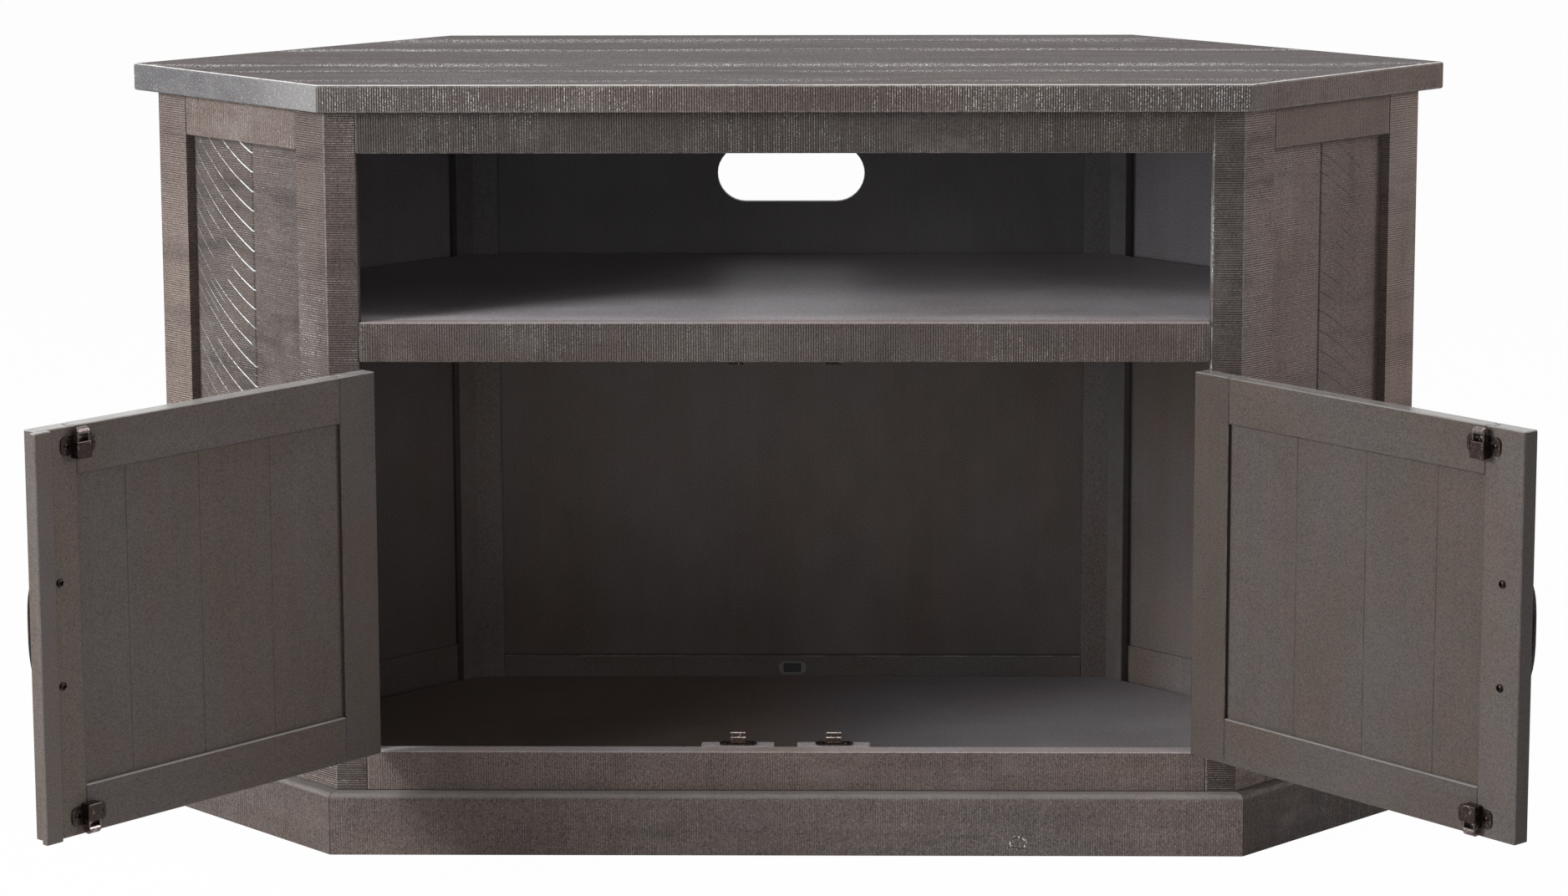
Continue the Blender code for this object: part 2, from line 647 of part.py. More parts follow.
def door_boards(side, word, axis, finish):
    """A door's four frame boards and its grooved plank panel, in the closed door's own frame."""
    reach = -side
    groove_front = DOOR_FRONT + DOOR_PANEL_RECESS - SEAT
    groove_back = groove_front + DOOR_PANEL_THICKNESS + 2 * SEAT

    def stile(edge, inward):
        inner = edge + inward * DOOR_STILE_WIDTH
        bottom = inner - inward * DOOR_GROOVE_DEPTH
        return [
            (edge, DOOR_FRONT),
            (inner, DOOR_FRONT),
            (inner, groove_front),
            (bottom, groove_front),
            (bottom, groove_back),
            (inner, groove_back),
            (inner, DOOR_BACK),
            (edge, DOOR_BACK),
        ]

    hinge_stile = stile(DOOR_EDGE, 1)
    free_stile = stile(DOOR_FREE, -1)
    ease(prism(f"door_{word}_hinge_stile", hinge_stile, DOOR_LOW, DOOR_HIGH, finish, reach, axis))
    ease(prism(f"door_{word}_free_stile", free_stile, DOOR_LOW, DOOR_HIGH, finish, reach, axis))
    start = DOOR_EDGE + DOOR_STILE_WIDTH + SEAT
    end = DOOR_FREE - DOOR_STILE_WIDTH - SEAT
    floor = DOOR_RAIL_WIDTH - DOOR_GROOVE_DEPTH
    front = DOOR_FRONT + DOOR_PANEL_RECESS
    back = front + DOOR_PANEL_THICKNESS
    panel_start = DOOR_EDGE + DOOR_STILE_WIDTH - DOOR_PANEL_TONGUE
    panel_end = DOOR_FREE - DOOR_STILE_WIDTH + DOOR_PANEL_TONGUE
    profile = [
        (DOOR_FRONT, 0),
        (DOOR_BACK, 0),
        (DOOR_BACK, DOOR_RAIL_WIDTH),
        (groove_back, DOOR_RAIL_WIDTH),
        (groove_back, floor),
        (groove_front, floor),
        (groove_front, DOOR_RAIL_WIDTH),
        (DOOR_FRONT, DOOR_RAIL_WIDTH),
    ]
    tenon_profile = rectangle(front, back, 0, floor)
    for place, height, upward in (("bottom", DOOR_LOW, 1), ("top", DOOR_HIGH, -1)):
        board = frame_matrix((start * reach, 0, height), (0, 1, 0), (0, 0, upward), (reach, 0, 0))
        tongue = frame_matrix((panel_start * reach, 0, height), (0, 1, 0), (0, 0, upward), (reach, 0, 0))
        rail = extrusion(f"door_{word}_{place}_rail", profile, end - start, board, finish, axis)
        ease(rail)
        tenon = extrusion("tenon", tenon_profile, panel_end - panel_start, tongue, finish, axis)
        combine(rail, tenon, "UNION")
    planks = [DOOR_PANEL_TONGUE + DOOR_PLANK_WIDTH * i for i in range(1, DOOR_PLANKS)]
    outline = []
    for depth, inward in ((front, 1), (back, -1)):
        line_start = Vector((panel_start, depth))
        line_end = Vector((panel_end, depth))
        face_in = Vector((0, inward))
        line = notched_line(line_start, line_end, face_in, planks, DOOR_SEAM_WIDTH, DOOR_SEAM_DEPTH)
        outline += line[::inward]
    low = DOOR_LOW + DOOR_RAIL_WIDTH - DOOR_PANEL_TONGUE
    high = DOOR_HIGH - DOOR_RAIL_WIDTH + DOOR_PANEL_TONGUE
    prism(f"door_{word}_panel", outline, low, high, finish, reach, axis)


def astragal(axis, finish):
    """The strip on the left door's inner face that covers the gap between the doors."""
    end = DOOR_FREE + ASTRAGAL_OVERHANG
    start = DOOR_BACK + SEAT
    plan = rectangle(end - ASTRAGAL_WIDTH, end, start, start + ASTRAGAL_THICKNESS)
    ease(prism("astragal", plan, DOOR_LOW, DOOR_HIGH, finish, RIGHT, axis))


def bow_point(half_height, height, turn):
    """Lift and run of a superellipse that springs from the door, at one angle along it."""
    power = 2 / HANDLE_FULLNESS
    lift = height * abs(math.sin(turn)) ** power
    run = half_height * abs(math.cos(turn)) ** power * math.copysign(1, math.cos(turn))
    return Vector((0, lift, run))


def bow_section(outer, inner):
    """A rounded section of the bow, across the line between its outer and its inner curve."""
    half_thickness = (outer - inner).length / 2
    middle = (outer + inner) / 2
    outward = (outer - inner).normalized()
    outline = rounded_plate(HANDLE_WIDTH / 2, -half_thickness, half_thickness, HANDLE_EDGE_RADIUS, 2)
    return [middle + outward * lift + Vector((across, 0, 0)) for across, lift in outline]


def handle(side, word, axis, finish):
    """A bow handle on the outer face of the free stile, thick at its feet and thin at its middle."""
    form = bmesh.new()
    rings = []
    for i in range(HANDLE_STEPS + 1):
        turn = math.pi * i / HANDLE_STEPS
        outer = bow_point((HANDLE_SPACING + HANDLE_FOOT_LENGTH) / 2, HANDLE_PROJECTION, turn)
        inner_height = HANDLE_PROJECTION - HANDLE_THICKNESS
        inner = bow_point((HANDLE_SPACING - HANDLE_FOOT_LENGTH) / 2, inner_height, turn)
        rings.append([form.verts.new(spot) for spot in bow_section(outer, inner)])
    form.faces.new(rings[0])
    form.faces.new(rings[-1])
    count = len(rings[0])
    for first, second in zip(rings, rings[1:]):
        for i in range(count):
            j = (i + 1) % count
            form.faces.new((first[i], first[j], second[j], second[i]))
    center = (DOOR_FREE - HANDLE_FROM_EDGE) * -side
    start = (center, DOOR_FRONT - SEAT, DOOR_MIDDLE)
    form.transform(frame_matrix(start, (side, 0, 0), (0, -1, 0), (0, 0, 1)))
    bmesh.ops.recalc_face_normals(form, faces=form.faces)
    mesh_data = bpy.data.meshes.new(f"handle_{word}")
    form.to_mesh(mesh_data)
    form.free()
    link(f"handle_{word}", mesh_data, finish, start, axis)


def hinge_plate(name, leaf_side, knuckles, finish):
    """A hinge leaf round the pin at the origin: the plate, and a barrel for each span of knuckles."""
    near = leaf_side * (DOOR_HINGE_GAP / 2 - SEAT)
    far = near - leaf_side * HINGE_LEAF_THICKNESS
    front = DOOR_FRONT + HINGE_LEAF_SETBACK
    back = front + HINGE_LEAF_DEPTH
    half = HINGE_LENGTH / 2
    plate_plan = rectangle(min(near, far), max(near, far), front, back)
    leaf = prism(name, plate_plan, -half, half, finish)
    for low, high in knuckles:
        barrel = prism("barrel", circle(HINGE_BARREL_RADIUS, 20), low, high, finish)
        neck_plan = rectangle(min(near, far), max(near, far), HINGE_BARREL_RADIUS / 2, front + SEAT)
        neck = prism("neck", neck_plan, low, high, finish)
        combine(leaf, barrel, "UNION")
        combine(leaf, neck, "UNION")
    return leaf


def hinge_meshes(finish):
    """The two leaves of one butt hinge, as meshes that all four hinges share."""
    half = HINGE_LENGTH / 2
    third = HINGE_LENGTH / 6
    gap = HINGE_KNUCKLE_GAP / 2
    frame_leaf = hinge_plate("frame_leaf", -1, ((-half, -third - gap), (third + gap, half)), finish)
    pin_half = half - HINGE_PIN_SETBACK
    pin = prism("pin", circle(HINGE_PIN_RADIUS, 12), -pin_half, pin_half, finish)
    combine(frame_leaf, pin, "UNION")
    door_leaf = hinge_plate("door_leaf", 1, ((-third + gap, third - gap),), finish)
    bore_radius = HINGE_PIN_RADIUS + HINGE_PIN_CLEARANCE
    bore = prism("bore", circle(bore_radius, 16), -half, half, finish)
    combine(door_leaf, bore, "DIFFERENCE")
    meshes = []
    for leaf in (frame_leaf, door_leaf):
        leaf.data.transform(Matrix.Translation(leaf.location))
        meshes.append(leaf.data)
        bpy.data.objects.remove(leaf, do_unlink=True)
    return meshes


def hinges(axes, finish):
    """Two butt hinges to a door: a leaf on the post, and a leaf on the door that turns with it."""
    frame_mesh, door_mesh = hinge_meshes(finish)
    heights = (("bottom", DOOR_LOW + HINGE_FROM_DOOR_END), ("top", DOOR_HIGH - HINGE_FROM_DOOR_END))
    for side, word in SIDES:
        flipped = math.pi if side == RIGHT else 0
        for place, height in heights:
            fixed = bpy.data.objects.new(f"hinge_{place}_{word}_frame_leaf", frame_mesh)
            fixed.location = (PIN_X * side, PIN_Y, height)
            fixed.rotation_euler.y = flipped
            turning = bpy.data.objects.new(f"hinge_{place}_{word}_door_leaf", door_mesh)
            turning.parent = axes[side]
            turning.location = (0, 0, height)
            turning.rotation_euler.y = flipped
            bpy.context.scene.collection.objects.link(fixed)
            bpy.context.scene.collection.objects.link(turning)


def catch_housing(finish):
    """Catch body: an open-ended box on a plate with rounded ears. X across, Y from the door's end."""
    plate_end = CATCH_PLATE_START + CATCH_PLATE_WIDTH
    plate_plan = rounded_plate(CATCH_BASE_LENGTH / 2, CATCH_PLATE_START, plate_end, CATCH_EAR_RADIUS)
    body = prism("housing", plate_plan, SEAT, CATCH_FLOOR, finish)
    outer = rectangle(-CATCH_WIDTH / 2, CATCH_WIDTH / 2, CATCH_START, CATCH_END)
    box = prism("box", outer, SEAT, CATCH_PROJECTION, finish)
    ease(box, CATCH_WALL, 2)
    combine(body, box, "UNION")
    inner_half = CATCH_WIDTH / 2 - CATCH_WALL
    cavity_plan = rectangle(-inner_half, inner_half, CATCH_START - CUT_PAST, CATCH_END - CATCH_WALL)
    cavity = prism("cavity", cavity_plan, CATCH_FLOOR, CATCH_CEILING, finish)
    combine(body, cavity, "DIFFERENCE")
    body.data.transform(Matrix.Translation(body.location))
    return body


def catch_carriage(finish):
    """Sprung carriage round the roller's centre: two cheeks, a web between them, and the roller."""
    half = CATCH_WIDTH / 2 - CATCH_WALL - SEAT
    length = CARRIAGE_END - ROLLER_FROM_DOOR_END
    low = -CARRIAGE_HEIGHT / 2
    nose = arc((0, 0), CARRIAGE_HEIGHT / 2, math.pi * 1.5, math.pi / 2, 8)
    cheek_plan = [*nose, (length, -low), (length, low)]
    placing = frame_matrix((-half, 0, 0), (0, 1, 0), (0, 0, 1), (1, 0, 0))
    body = extrusion("carriage", cheek_plan, 2 * half, placing, finish)
    inner = half - CARRIAGE_CHEEK
    throat_plan = rectangle(-inner, inner, low - CUT_PAST, length + CUT_PAST)
    throat = prism("throat", throat_plan, low + CARRIAGE_WEB, CUT_PAST - low, finish)
    combine(body, throat, "DIFFERENCE")
    start = frame_matrix((-inner - SEAT, 0, 0), (0, 1, 0), (0, 0, 1), (1, 0, 0))
    roller = extrusion("roller", circle(ROLLER_RADIUS, 20), 2 * (inner + SEAT), start, finish)
    combine(body, roller, "UNION")
    body.data.transform(Matrix.Translation(body.location))
    return body


def catches(axes, finish):
    """Roller catches at the top and bottom of each free stile."""
    housing = catch_housing(finish)
    carriage = catch_carriage(finish)
    across = DOOR_FREE - CATCH_FROM_EDGE
    roller_center = Vector((0, ROLLER_FROM_DOOR_END, ROLLER_LIFT))
    ends = (("bottom", DOOR_LOW, 1), ("top", DOOR_HIGH, -1))
    for side, word in SIDES:
        for place, height, upward in ends:
            spot = (across * -side, DOOR_BACK, height)
            placing = frame_matrix(spot, (-upward, 0, 0), (0, 0, upward), (0, 1, 0))
            fixed = bpy.data.objects.new(f"catch_{place}_{word}_housing", housing.data)
            sliding = bpy.data.objects.new(f"catch_{place}_{word}_carriage", carriage.data)
            fixed.parent = axes[side]
            sliding.parent = axes[side]
            fixed.matrix_local = placing
            sliding.matrix_local = placing @ Matrix.Translation(roller_center)
            bpy.context.scene.collection.objects.link(fixed)
            bpy.context.scene.collection.objects.link(sliding)
    bpy.data.objects.remove(housing, do_unlink=True)
    bpy.data.objects.remove(carriage, do_unlink=True)


def door_axis(side, word):
    """An empty on the hinge axis that turns everything the door carries."""
    axis = bpy.data.objects.new(f"door_{word}_axis", None)
    axis.location = (PIN_X * side, PIN_Y, 0)
    axis.rotation_euler.z = DOOR_OPEN_ANGLE * side
    bpy.context.scene.collection.objects.link(axis)
    return axis


def shade_round_faces():
    """Smooth shading over curves, with every real edge kept sharp."""
    for mesh_data in {item.data for item in bpy.data.objects if item.type == "MESH"}:
        mesh_data.shade_smooth()
        mesh_data.set_sharp_from_angle(angle=EASED_ANGLE)


def main():
    clear_scene()
    sawn = material("sawn_grey_wood", (0.112, 0.097, 0.090), 0.62)
    painted = material("painted_grey_wood", (0.105, 0.093, 0.088), 0.48)
    bronze = material("antique_bronze", (0.060, 0.042, 0.036), 0.36, 1.0)
    black = material("black_iron", (0.012, 0.011, 0.011), 0.42, 1.0)
    slab(sawn)
    face_frame(sawn)
    side_walls(sawn)
    rear_walls(painted)
    back_wall(painted)
    inner_boards(painted)
    plinth(sawn)
    strikes(painted, bronze)
    axes = {side: door_axis(side, word) for side, word in SIDES}
    for side, word in SIDES:
        door_boards(side, word, axes[side], painted)
        handle(side, word, axes[side], black)
    astragal(axes[LEFT], painted)
    hinges(axes, bronze)
    catches(axes, bronze)
    shade_round_faces()


main()
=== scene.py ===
"""Looks of the corner TV stand: camera, light, wood and metal finishes, and the small fasteners."""

import math

import bmesh
import bpy
from mathutils import Matrix, Vector


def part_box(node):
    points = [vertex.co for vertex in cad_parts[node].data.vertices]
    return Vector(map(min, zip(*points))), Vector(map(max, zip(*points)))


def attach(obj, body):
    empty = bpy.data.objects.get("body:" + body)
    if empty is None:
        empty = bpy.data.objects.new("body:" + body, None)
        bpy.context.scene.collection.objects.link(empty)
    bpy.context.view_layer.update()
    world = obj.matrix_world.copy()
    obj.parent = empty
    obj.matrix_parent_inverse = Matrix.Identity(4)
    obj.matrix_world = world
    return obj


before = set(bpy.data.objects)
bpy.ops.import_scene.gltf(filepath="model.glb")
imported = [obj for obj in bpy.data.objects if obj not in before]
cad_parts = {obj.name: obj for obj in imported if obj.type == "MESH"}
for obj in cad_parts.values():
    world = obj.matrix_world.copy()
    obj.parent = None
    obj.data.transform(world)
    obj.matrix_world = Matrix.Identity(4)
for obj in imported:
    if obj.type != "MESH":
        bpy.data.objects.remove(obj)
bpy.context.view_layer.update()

# The photograph's frame and the camera that took it, in pixels, millimetres, metres and radians
FRAME_WIDTH = 1876
FOCAL_PIXELS = 4934.63
SENSOR = 36.0
CAMERA_SPOT = (0.0681, -3.9396, 1.1825)
CAMERA_YAW = 0.0173
CAMERA_PITCH = 0.1565
CAMERA_ROLL = -0.003
CAMERA_SHIFT = -188 / FRAME_WIDTH

# Lamps: name, azimuth left of the front, elevation, distance, width and height, level, colour
LAMPS = (
    ("tall_key_left", 58, 15, 4.2, (1.0, 3.0), 0.37, (0.97, 1.0, 1.0)),
    ("high_key_left", 62, 24, 4.2, (1.0, 1.0), 0.79, (0.97, 1.0, 1.0)),
    ("low_key_left", 48, 12, 4.2, (1.0, 1.0), 0.21, (0.97, 1.0, 1.0)),
    ("overhead", 0, 86, 3.6, (2.2, 2.0), 0.62, (1.0, 0.98, 0.975)),
    ("fill_right", -82, 22, 4.2, (1.4, 1.8), 0.46, (1.0, 0.99, 0.98)),
    ("broad_front", 8, 6, 4.6, (2.2, 0.9), 0.04, (0.98, 1.0, 1.0)),
    ("fill_front_right", -32, 12, 4.4, (1.2, 1.2), 0.08, (1.0, 0.98, 0.97)),
)
LAMP_AIM = (0, 0.15, 0.40)
FLOOR_HALF = 14
FLOOR_LEVEL = -0.0003
FLOOR_COLOR = (0.62, 0.62, 0.62)
FLOOR_WHITE = 0.98

# Directions that the boards run in
DIAGONAL = math.sqrt(0.5)
X = (1, 0, 0)
Y = (0, 1, 0)
Z = (0, 0, 1)
ALONG_LEFT_WALL = (-DIAGONAL, DIAGONAL, 0)
ALONG_RIGHT_WALL = (DIAGONAL, DIAGONAL, 0)
OUT_OF_LEFT_WALL = (-DIAGONAL, -DIAGONAL, 0)
OUT_OF_RIGHT_WALL = (DIAGONAL, -DIAGONAL, 0)
OPEN_ANGLE = math.radians(131)

# Side wall planks: where the wall starts along its own direction, their split, and the saw's arcs
WALL_START = 0.887 / 2 * DIAGONAL
PLANK_SPLIT = 0.129
PLANK_SEAM = 0.0005
ARC_CENTER = 0.032
ARC_RADIUS = 0.237
ARC_SPACING = 0.0197
ARC_DROP = 0.004

# The slab: depth, half width and density of its bands of flecks, the stretch of its left end that
# turns pale, and the bow and spacing of its grain
FLECK_BANDS = (
    (0.030, 0.026, 0.45),
    (0.118, 0.018, 0.70),
    (0.177, 0.030, 1.00),
    (0.331, 0.024, 0.95),
    (0.433, 0.040, 0.70),
)
FLECKS_ELSEWHERE = 0.10
PALE_CORNER = (-0.560, -0.455)
GRAIN_BOW_X = 0.15
GRAIN_BOW = 0.22
GRAIN_TURNS = 420
SLAB_SAW_PITCH = 0.0027

# Spacing of the saw's ridges on level and on upright boards, and how far they wander
LEVEL_PITCH = 0.00242
UPRIGHT_PITCH = 0.00228
RIDGE_WANDER = 0.0022

# The upper face of the shelf and the fade below it, for the painted light and shade above it, the half
# width of the door opening with the painted glints on its arris, half the width over which the painted
# shade on the cabinet's floor fades, and the plinth's knot: place and half sizes
SHELF_LEVEL = 0.5295
SHELF_FADE = 0.03
OPENING_HALF = 0.413
ARRIS_WIDTH = 0.0026
FLOOR_FADE = 0.15
PLINTH_KNOT = (0.229, 0.013, 0.0065, 0.0055)

# Places that the fasteners take, from the model's own dimensions
PIN = (0.4115, -0.0038)
DOOR_BACK = 0.0218
DOOR_LOW = 0.1047
DOOR_HIGH = 0.4849
DOOR_MIDDLE = 0.2948
HANDLE_ACROSS = 0.3885
HANDLE_SPACING = 0.096
CATCH_ACROSS = 0.364
CATCH_MIDDLE = 0.01775
CATCH_EAR = 0.0135
CATCH_PLATE_TOP = 0.0015
STRIKE_EAR = 0.0126
STRIKE_Y = 0.0289
STRIKE_PLATE = 0.001
BACK_RAIL_FACE = 0.455
CLIP_HEIGHT = 0.0717

# Screw heads: radius and height
PAN_HEAD = (0.0038, 0.0023)
SMALL_HEAD = (0.0028, 0.0014)

# The clip: half sizes and corner radius of its plate and socket, and the boxes of its latch
# (low x, high x, height, front)
CLIP_PLATE = (0.0152, 0.0070, 0.0069)
CLIP_THICK = 0.0018
CLIP_SOCKET = (0.0096, 0.0052, 0.0008)
SOCKET_FLOOR = 0.0007
SOCKET_CUT_TOP = 0.004
CLIP_EASE = 0.0004
LATCH_EASE = 0.0002
LATCH_BOXES = (
    (-0.0094, 0.0094, 0.0100, 0.0010),
    (-0.0062, 0.0006, 0.0080, 0.0014),
)

# Wood colours, all linear
SAWN_DARK = (0.083, 0.062, 0.055)
SAWN_LIGHT = (0.107, 0.082, 0.073)
SAWN_COOL = (0.088, 0.079, 0.080)
SAWN_PALE = (0.190, 0.168, 0.160)
# White specks; on ridge crests and along arrises they are painted glints
SPECK_GLINT = (0.60, 0.59, 0.58)
STAIN = (0.036, 0.029, 0.027)
CROWN_HIGHLIGHT = (0.200, 0.183, 0.177)
SLAB_WARM = (0.068, 0.055, 0.054)
SLAB_COOL = (0.076, 0.066, 0.067)
SLAB_FLECK = (0.75, 0.74, 0.73)
SLAB_RIM_HIGHLIGHT = (0.66, 0.65, 0.64)
END_DARK = (0.092, 0.088, 0.093)
END_PALE = (0.192, 0.183, 0.184)
ARC_HIGHLIGHT = (0.80, 0.80, 0.79)
ARC_SHADOW = (0.030, 0.025, 0.023)
ARC_SHADE = (0.060, 0.062, 0.072)
PAINT_WARM = (0.084, 0.060, 0.052)
PAINT_OLIVE = (0.074, 0.062, 0.053)
PAINT_COOL = (0.072, 0.066, 0.070)
WORN_PAINT = (0.150, 0.142, 0.140)
WORN_INSIDE = (0.36, 0.34, 0.335)
DOOR_TOP_SHEEN = (0.52, 0.51, 0.50)
# Painted highlights along the bends of the strikes' hump
RIB_HIGHLIGHT = (0.62, 0.54, 0.50)
PLATE_PLASTIC = (0.150, 0.139, 0.135)
SOCKET_PLASTIC = (0.008, 0.008, 0.008)

# Tones that several boards share
# INSIDE_TONE lightens the inside paint beyond the doors' paint: painted light for the dim inside
INSIDE_TONE = 1.45
# RAIL_TOP_TONE: the pale upper faces of two rails, partly their paint and partly painted light where
# they face up
RAIL_TOP_TONE = 4.2
DOOR_COOL = 0.15

# Depth of the bump in metres and specular level of each kind of surface
SAWN_BUMP = 0.00016
SAWN_SPECULAR = 0.15
SLAB_SPECULAR = 0.16
PLANK_SPECULAR = 0.22
PAINT_BUMP = 0.00010
PAINT_SPECULAR = 0.22
DOOR_BUMP = 0.00014
DOOR_SPECULAR = 0.20
METAL_BUMP = 0.00006
METAL_SPECULAR = 0.5
PLASTIC_BUMP = 0.00003
PLASTIC_SPECULAR = 0.4

# Metals by material name: seed, base colour, colour of the rubbed spots that are partly painted
# highlights, roughness, and how fine the skin is
METALS = {
    "bronze_rub_and_glint": (61.0, (0.022, 0.016, 0.014), (0.42, 0.33, 0.29), 0.24, 900),
    "black_iron_skin": (62.0, (0.020, 0.018, 0.018), (0.05, 0.046, 0.045), 0.42, 500),
    "strike_bronze": (63.0, (0.030, 0.021, 0.018), (0.20, 0.15, 0.13), 0.26, 900),
    "housing_bronze": (64.0, (0.050, 0.037, 0.034), (0.19, 0.15, 0.14), 0.34, 900),
    "roller_bronze": (65.0, (0.17, 0.138, 0.131), (0.70, 0.62, 0.59), 0.24, 900),
}


class Side:
    """One side of the stand: its directions and seed, how light its boards are, how strongly their
    painted glints, highlights and shade show, and how worn they are.
    """

    def __init__(self, **values):
        for name, value in values.items():
            setattr(self, name, value)


LEFT = Side(
    word="left", sign=-1, seed=10.0,
    along=ALONG_LEFT_WALL, out=OUT_OF_LEFT_WALL, rear_inward=OUT_OF_RIGHT_WALL,
    post_tone=0.67, post_turned_tone=0.84, post_specks=0.8, post_arris_glint=0.0,
    stile_tone=1.26, stile_specks=0.3, rail_specks=0.9,
    plank_tones=(0.80, 0.77), plank_ridges=0.7, plank_specks=0.35, plank_haze=1.4, plank_bands=1.0,
    arc_strength=0.95, arc_shading_color=ARC_HIGHLIGHT,
    plinth_tone=0.86, plinth_crown_highlight=True,
    back_post_cool=0.2, rear_tone=1.05, rear_upper_lit_tone=1.75,
    door_tone=1.12, free_end_shade=0.8, door_top_sheen=0.50,
)
RIGHT = Side(
    word="right", sign=1, seed=30.0,
    along=ALONG_RIGHT_WALL, out=OUT_OF_RIGHT_WALL, rear_inward=OUT_OF_LEFT_WALL,
    post_tone=0.59, post_turned_tone=1.22, post_specks=0.35, post_arris_glint=0.75,
    stile_tone=1.64, stile_specks=0.0, rail_specks=0.0,
    plank_tones=(1.27, 1.09), plank_ridges=1.0, plank_specks=0.0, plank_haze=0.6, plank_bands=0.5,
    arc_strength=0.9, arc_shading_color=ARC_SHADOW,
    plinth_tone=0.46, plinth_crown_highlight=False,
    back_post_cool=0.4, rear_tone=1.45, rear_upper_lit_tone=1.88,
    door_tone=0.93, free_end_shade=0.45, door_top_sheen=0.30,
)

# A door's boards: name, directions along and across, tone
DOOR_BOARDS = (
    ("hinge_stile", Z, X, 0.92),
    ("free_stile", Z, X, 1.20),
    ("top_rail", X, Z, 1.02),
    ("bottom_rail", X, Z, 1.0),
    ("panel", Z, X, 1.0),
)


class Graph:
    """The node tree of one material, in the directions of the board that it covers."""

    def __init__(self, name, along, across, seed):
        self.material = bpy.data.materials.new(name)
        self.material.use_nodes = True
        self.tree = self.material.node_tree
        self.shader = self.tree.nodes["Principled BSDF"]
        source = self.node("ShaderNodeTexCoord")
        self.place = source.outputs["Object"]
        self.normal = source.outputs["Normal"]
        third = Vector(along).cross(Vector(across))
        self.x = self.dot(self.place, along)
        self.y = self.dot(self.place, across)
        self.z = self.dot(self.place, third)
        joined = self.node("ShaderNodeCombineXYZ")
        for i, part in enumerate((self.x, self.y, self.z)):
            self.tree.links.new(part, joined.inputs[i])
        shift = (seed * 1.37, seed * 2.11, seed * 0.73)
        self.board = self.vector("ADD", joined.outputs[0], shift)

    def node(self, kind, **settings):
        made = self.tree.nodes.new(kind)
        for name, value in settings.items():
            setattr(made, name, value)
        return made

    def feed(self, socket, value):
        if isinstance(value, bpy.types.NodeSocket):
            self.tree.links.new(value, socket)
        else:
            socket.default_value = value

    def math(self, operation, *values, clamp=False):
        made = self.node("ShaderNodeMath", operation=operation, use_clamp=clamp)
        for i, value in enumerate(values):
            self.feed(made.inputs[i], value)
        return made.outputs[0]

    def vector(self, operation, first, second, output=0):
        made = self.node("ShaderNodeVectorMath", operation=operation)
        self.feed(made.inputs[0], first)
        self.feed(made.inputs[1], second)
        return made.outputs[output]

    def dot(self, first, second):
        return self.vector("DOT_PRODUCT", first, second, "Value")

    def scaled(self, vector, factor):
        made = self.node("ShaderNodeVectorMath", operation="SCALE")
        self.feed(made.inputs[0], vector)
        self.feed(made.inputs["Scale"], factor)
        return made.outputs[0]

    def noise(self, density, detail=2, roughness=0.5, distortion=0.0):
        """Noise whose features are 1/density metres long in each of the board's directions."""
        made = self.node("ShaderNodeTexNoise")
        stretched = self.vector("MULTIPLY", self.board, density)
        self.tree.links.new(stretched, made.inputs["Vector"])
        made.inputs["Scale"].default_value = 1.0
        made.inputs["Detail"].default_value = detail
        made.inputs["Roughness"].default_value = roughness
        made.inputs["Distortion"].default_value = distortion
        return made.outputs["Fac"]

    def swing(self, *noise):
        """Noise that runs round zero."""
        return self.centred(self.noise(*noise))

    def ramp(self, value, low, high, first=0.0, last=1.0):
        """A smooth step from first, below low, to last, above high."""
        made = self.node("ShaderNodeMapRange", interpolation_type="SMOOTHSTEP")
        self.feed(made.inputs["Value"], value)
        self.feed(made.inputs["From Min"], low)
        self.feed(made.inputs["From Max"], high)
        self.feed(made.inputs["To Min"], first)
        self.feed(made.inputs["To Max"], last)
        return made.outputs["Result"]

    def patches(self, density, low, high, first=0.0, last=1.0, detail=2, roughness=0.5, distortion=0.0):
        """Noise stepped from first to last, which leaves patches of each."""
        return self.ramp(self.noise(density, detail, roughness, distortion), low, high, first, last)

    def mix(self, amount, first, second):
        made = self.node("ShaderNodeMix", data_type="RGBA")
        self.feed(made.inputs[0], amount)
        for socket, value in ((made.inputs[6], first), (made.inputs[7], second)):
            self.feed(socket, (*value, 1.0) if isinstance(value, tuple) else value)
        return made.outputs[2]

    def blend(self, amount, first, second):
        made = self.node("ShaderNodeMix", data_type="FLOAT")
        self.feed(made.inputs[0], amount)
        self.feed(made.inputs[2], first)
        self.feed(made.inputs[3], second)
        return made.outputs[0]

    def product(self, *values):
        result = values[0]
        for value in values[1:]:
            result = self.math("MULTIPLY", result, value)
        return result

    def capped(self, value, factor):
        """value times factor, kept between zero and one."""
        return self.math("MULTIPLY", value, factor, clamp=True)

    def around(self, *terms):
        """One plus each (signal, strength), where a signal runs round zero."""
        result = 1.0
        for signal, strength in terms:
            result = self.math("MULTIPLY_ADD", signal, strength, result)
        return result

    def centred(self, value):
        return self.math("SUBTRACT", value, 0.5)

    def away(self, value, center):
        """The distance of value from center."""
        return self.math("ABSOLUTE", self.math("SUBTRACT", value, center))

    def edge(self, faces, flat=0.985, worn=0.93):
        """One on the eased edges of a board whose flat faces look these ways, and zero on the faces."""
        nearest = -1.0
        for face in faces:
            nearest = self.math("MAXIMUM", nearest, self.dot(self.normal, face))
        return self.ramp(nearest, worn, flat, 1.0, 0.0)

    def facing(self, direction, low=0.5, high=0.8):
        return self.ramp(self.dot(self.normal, direction), low, high)

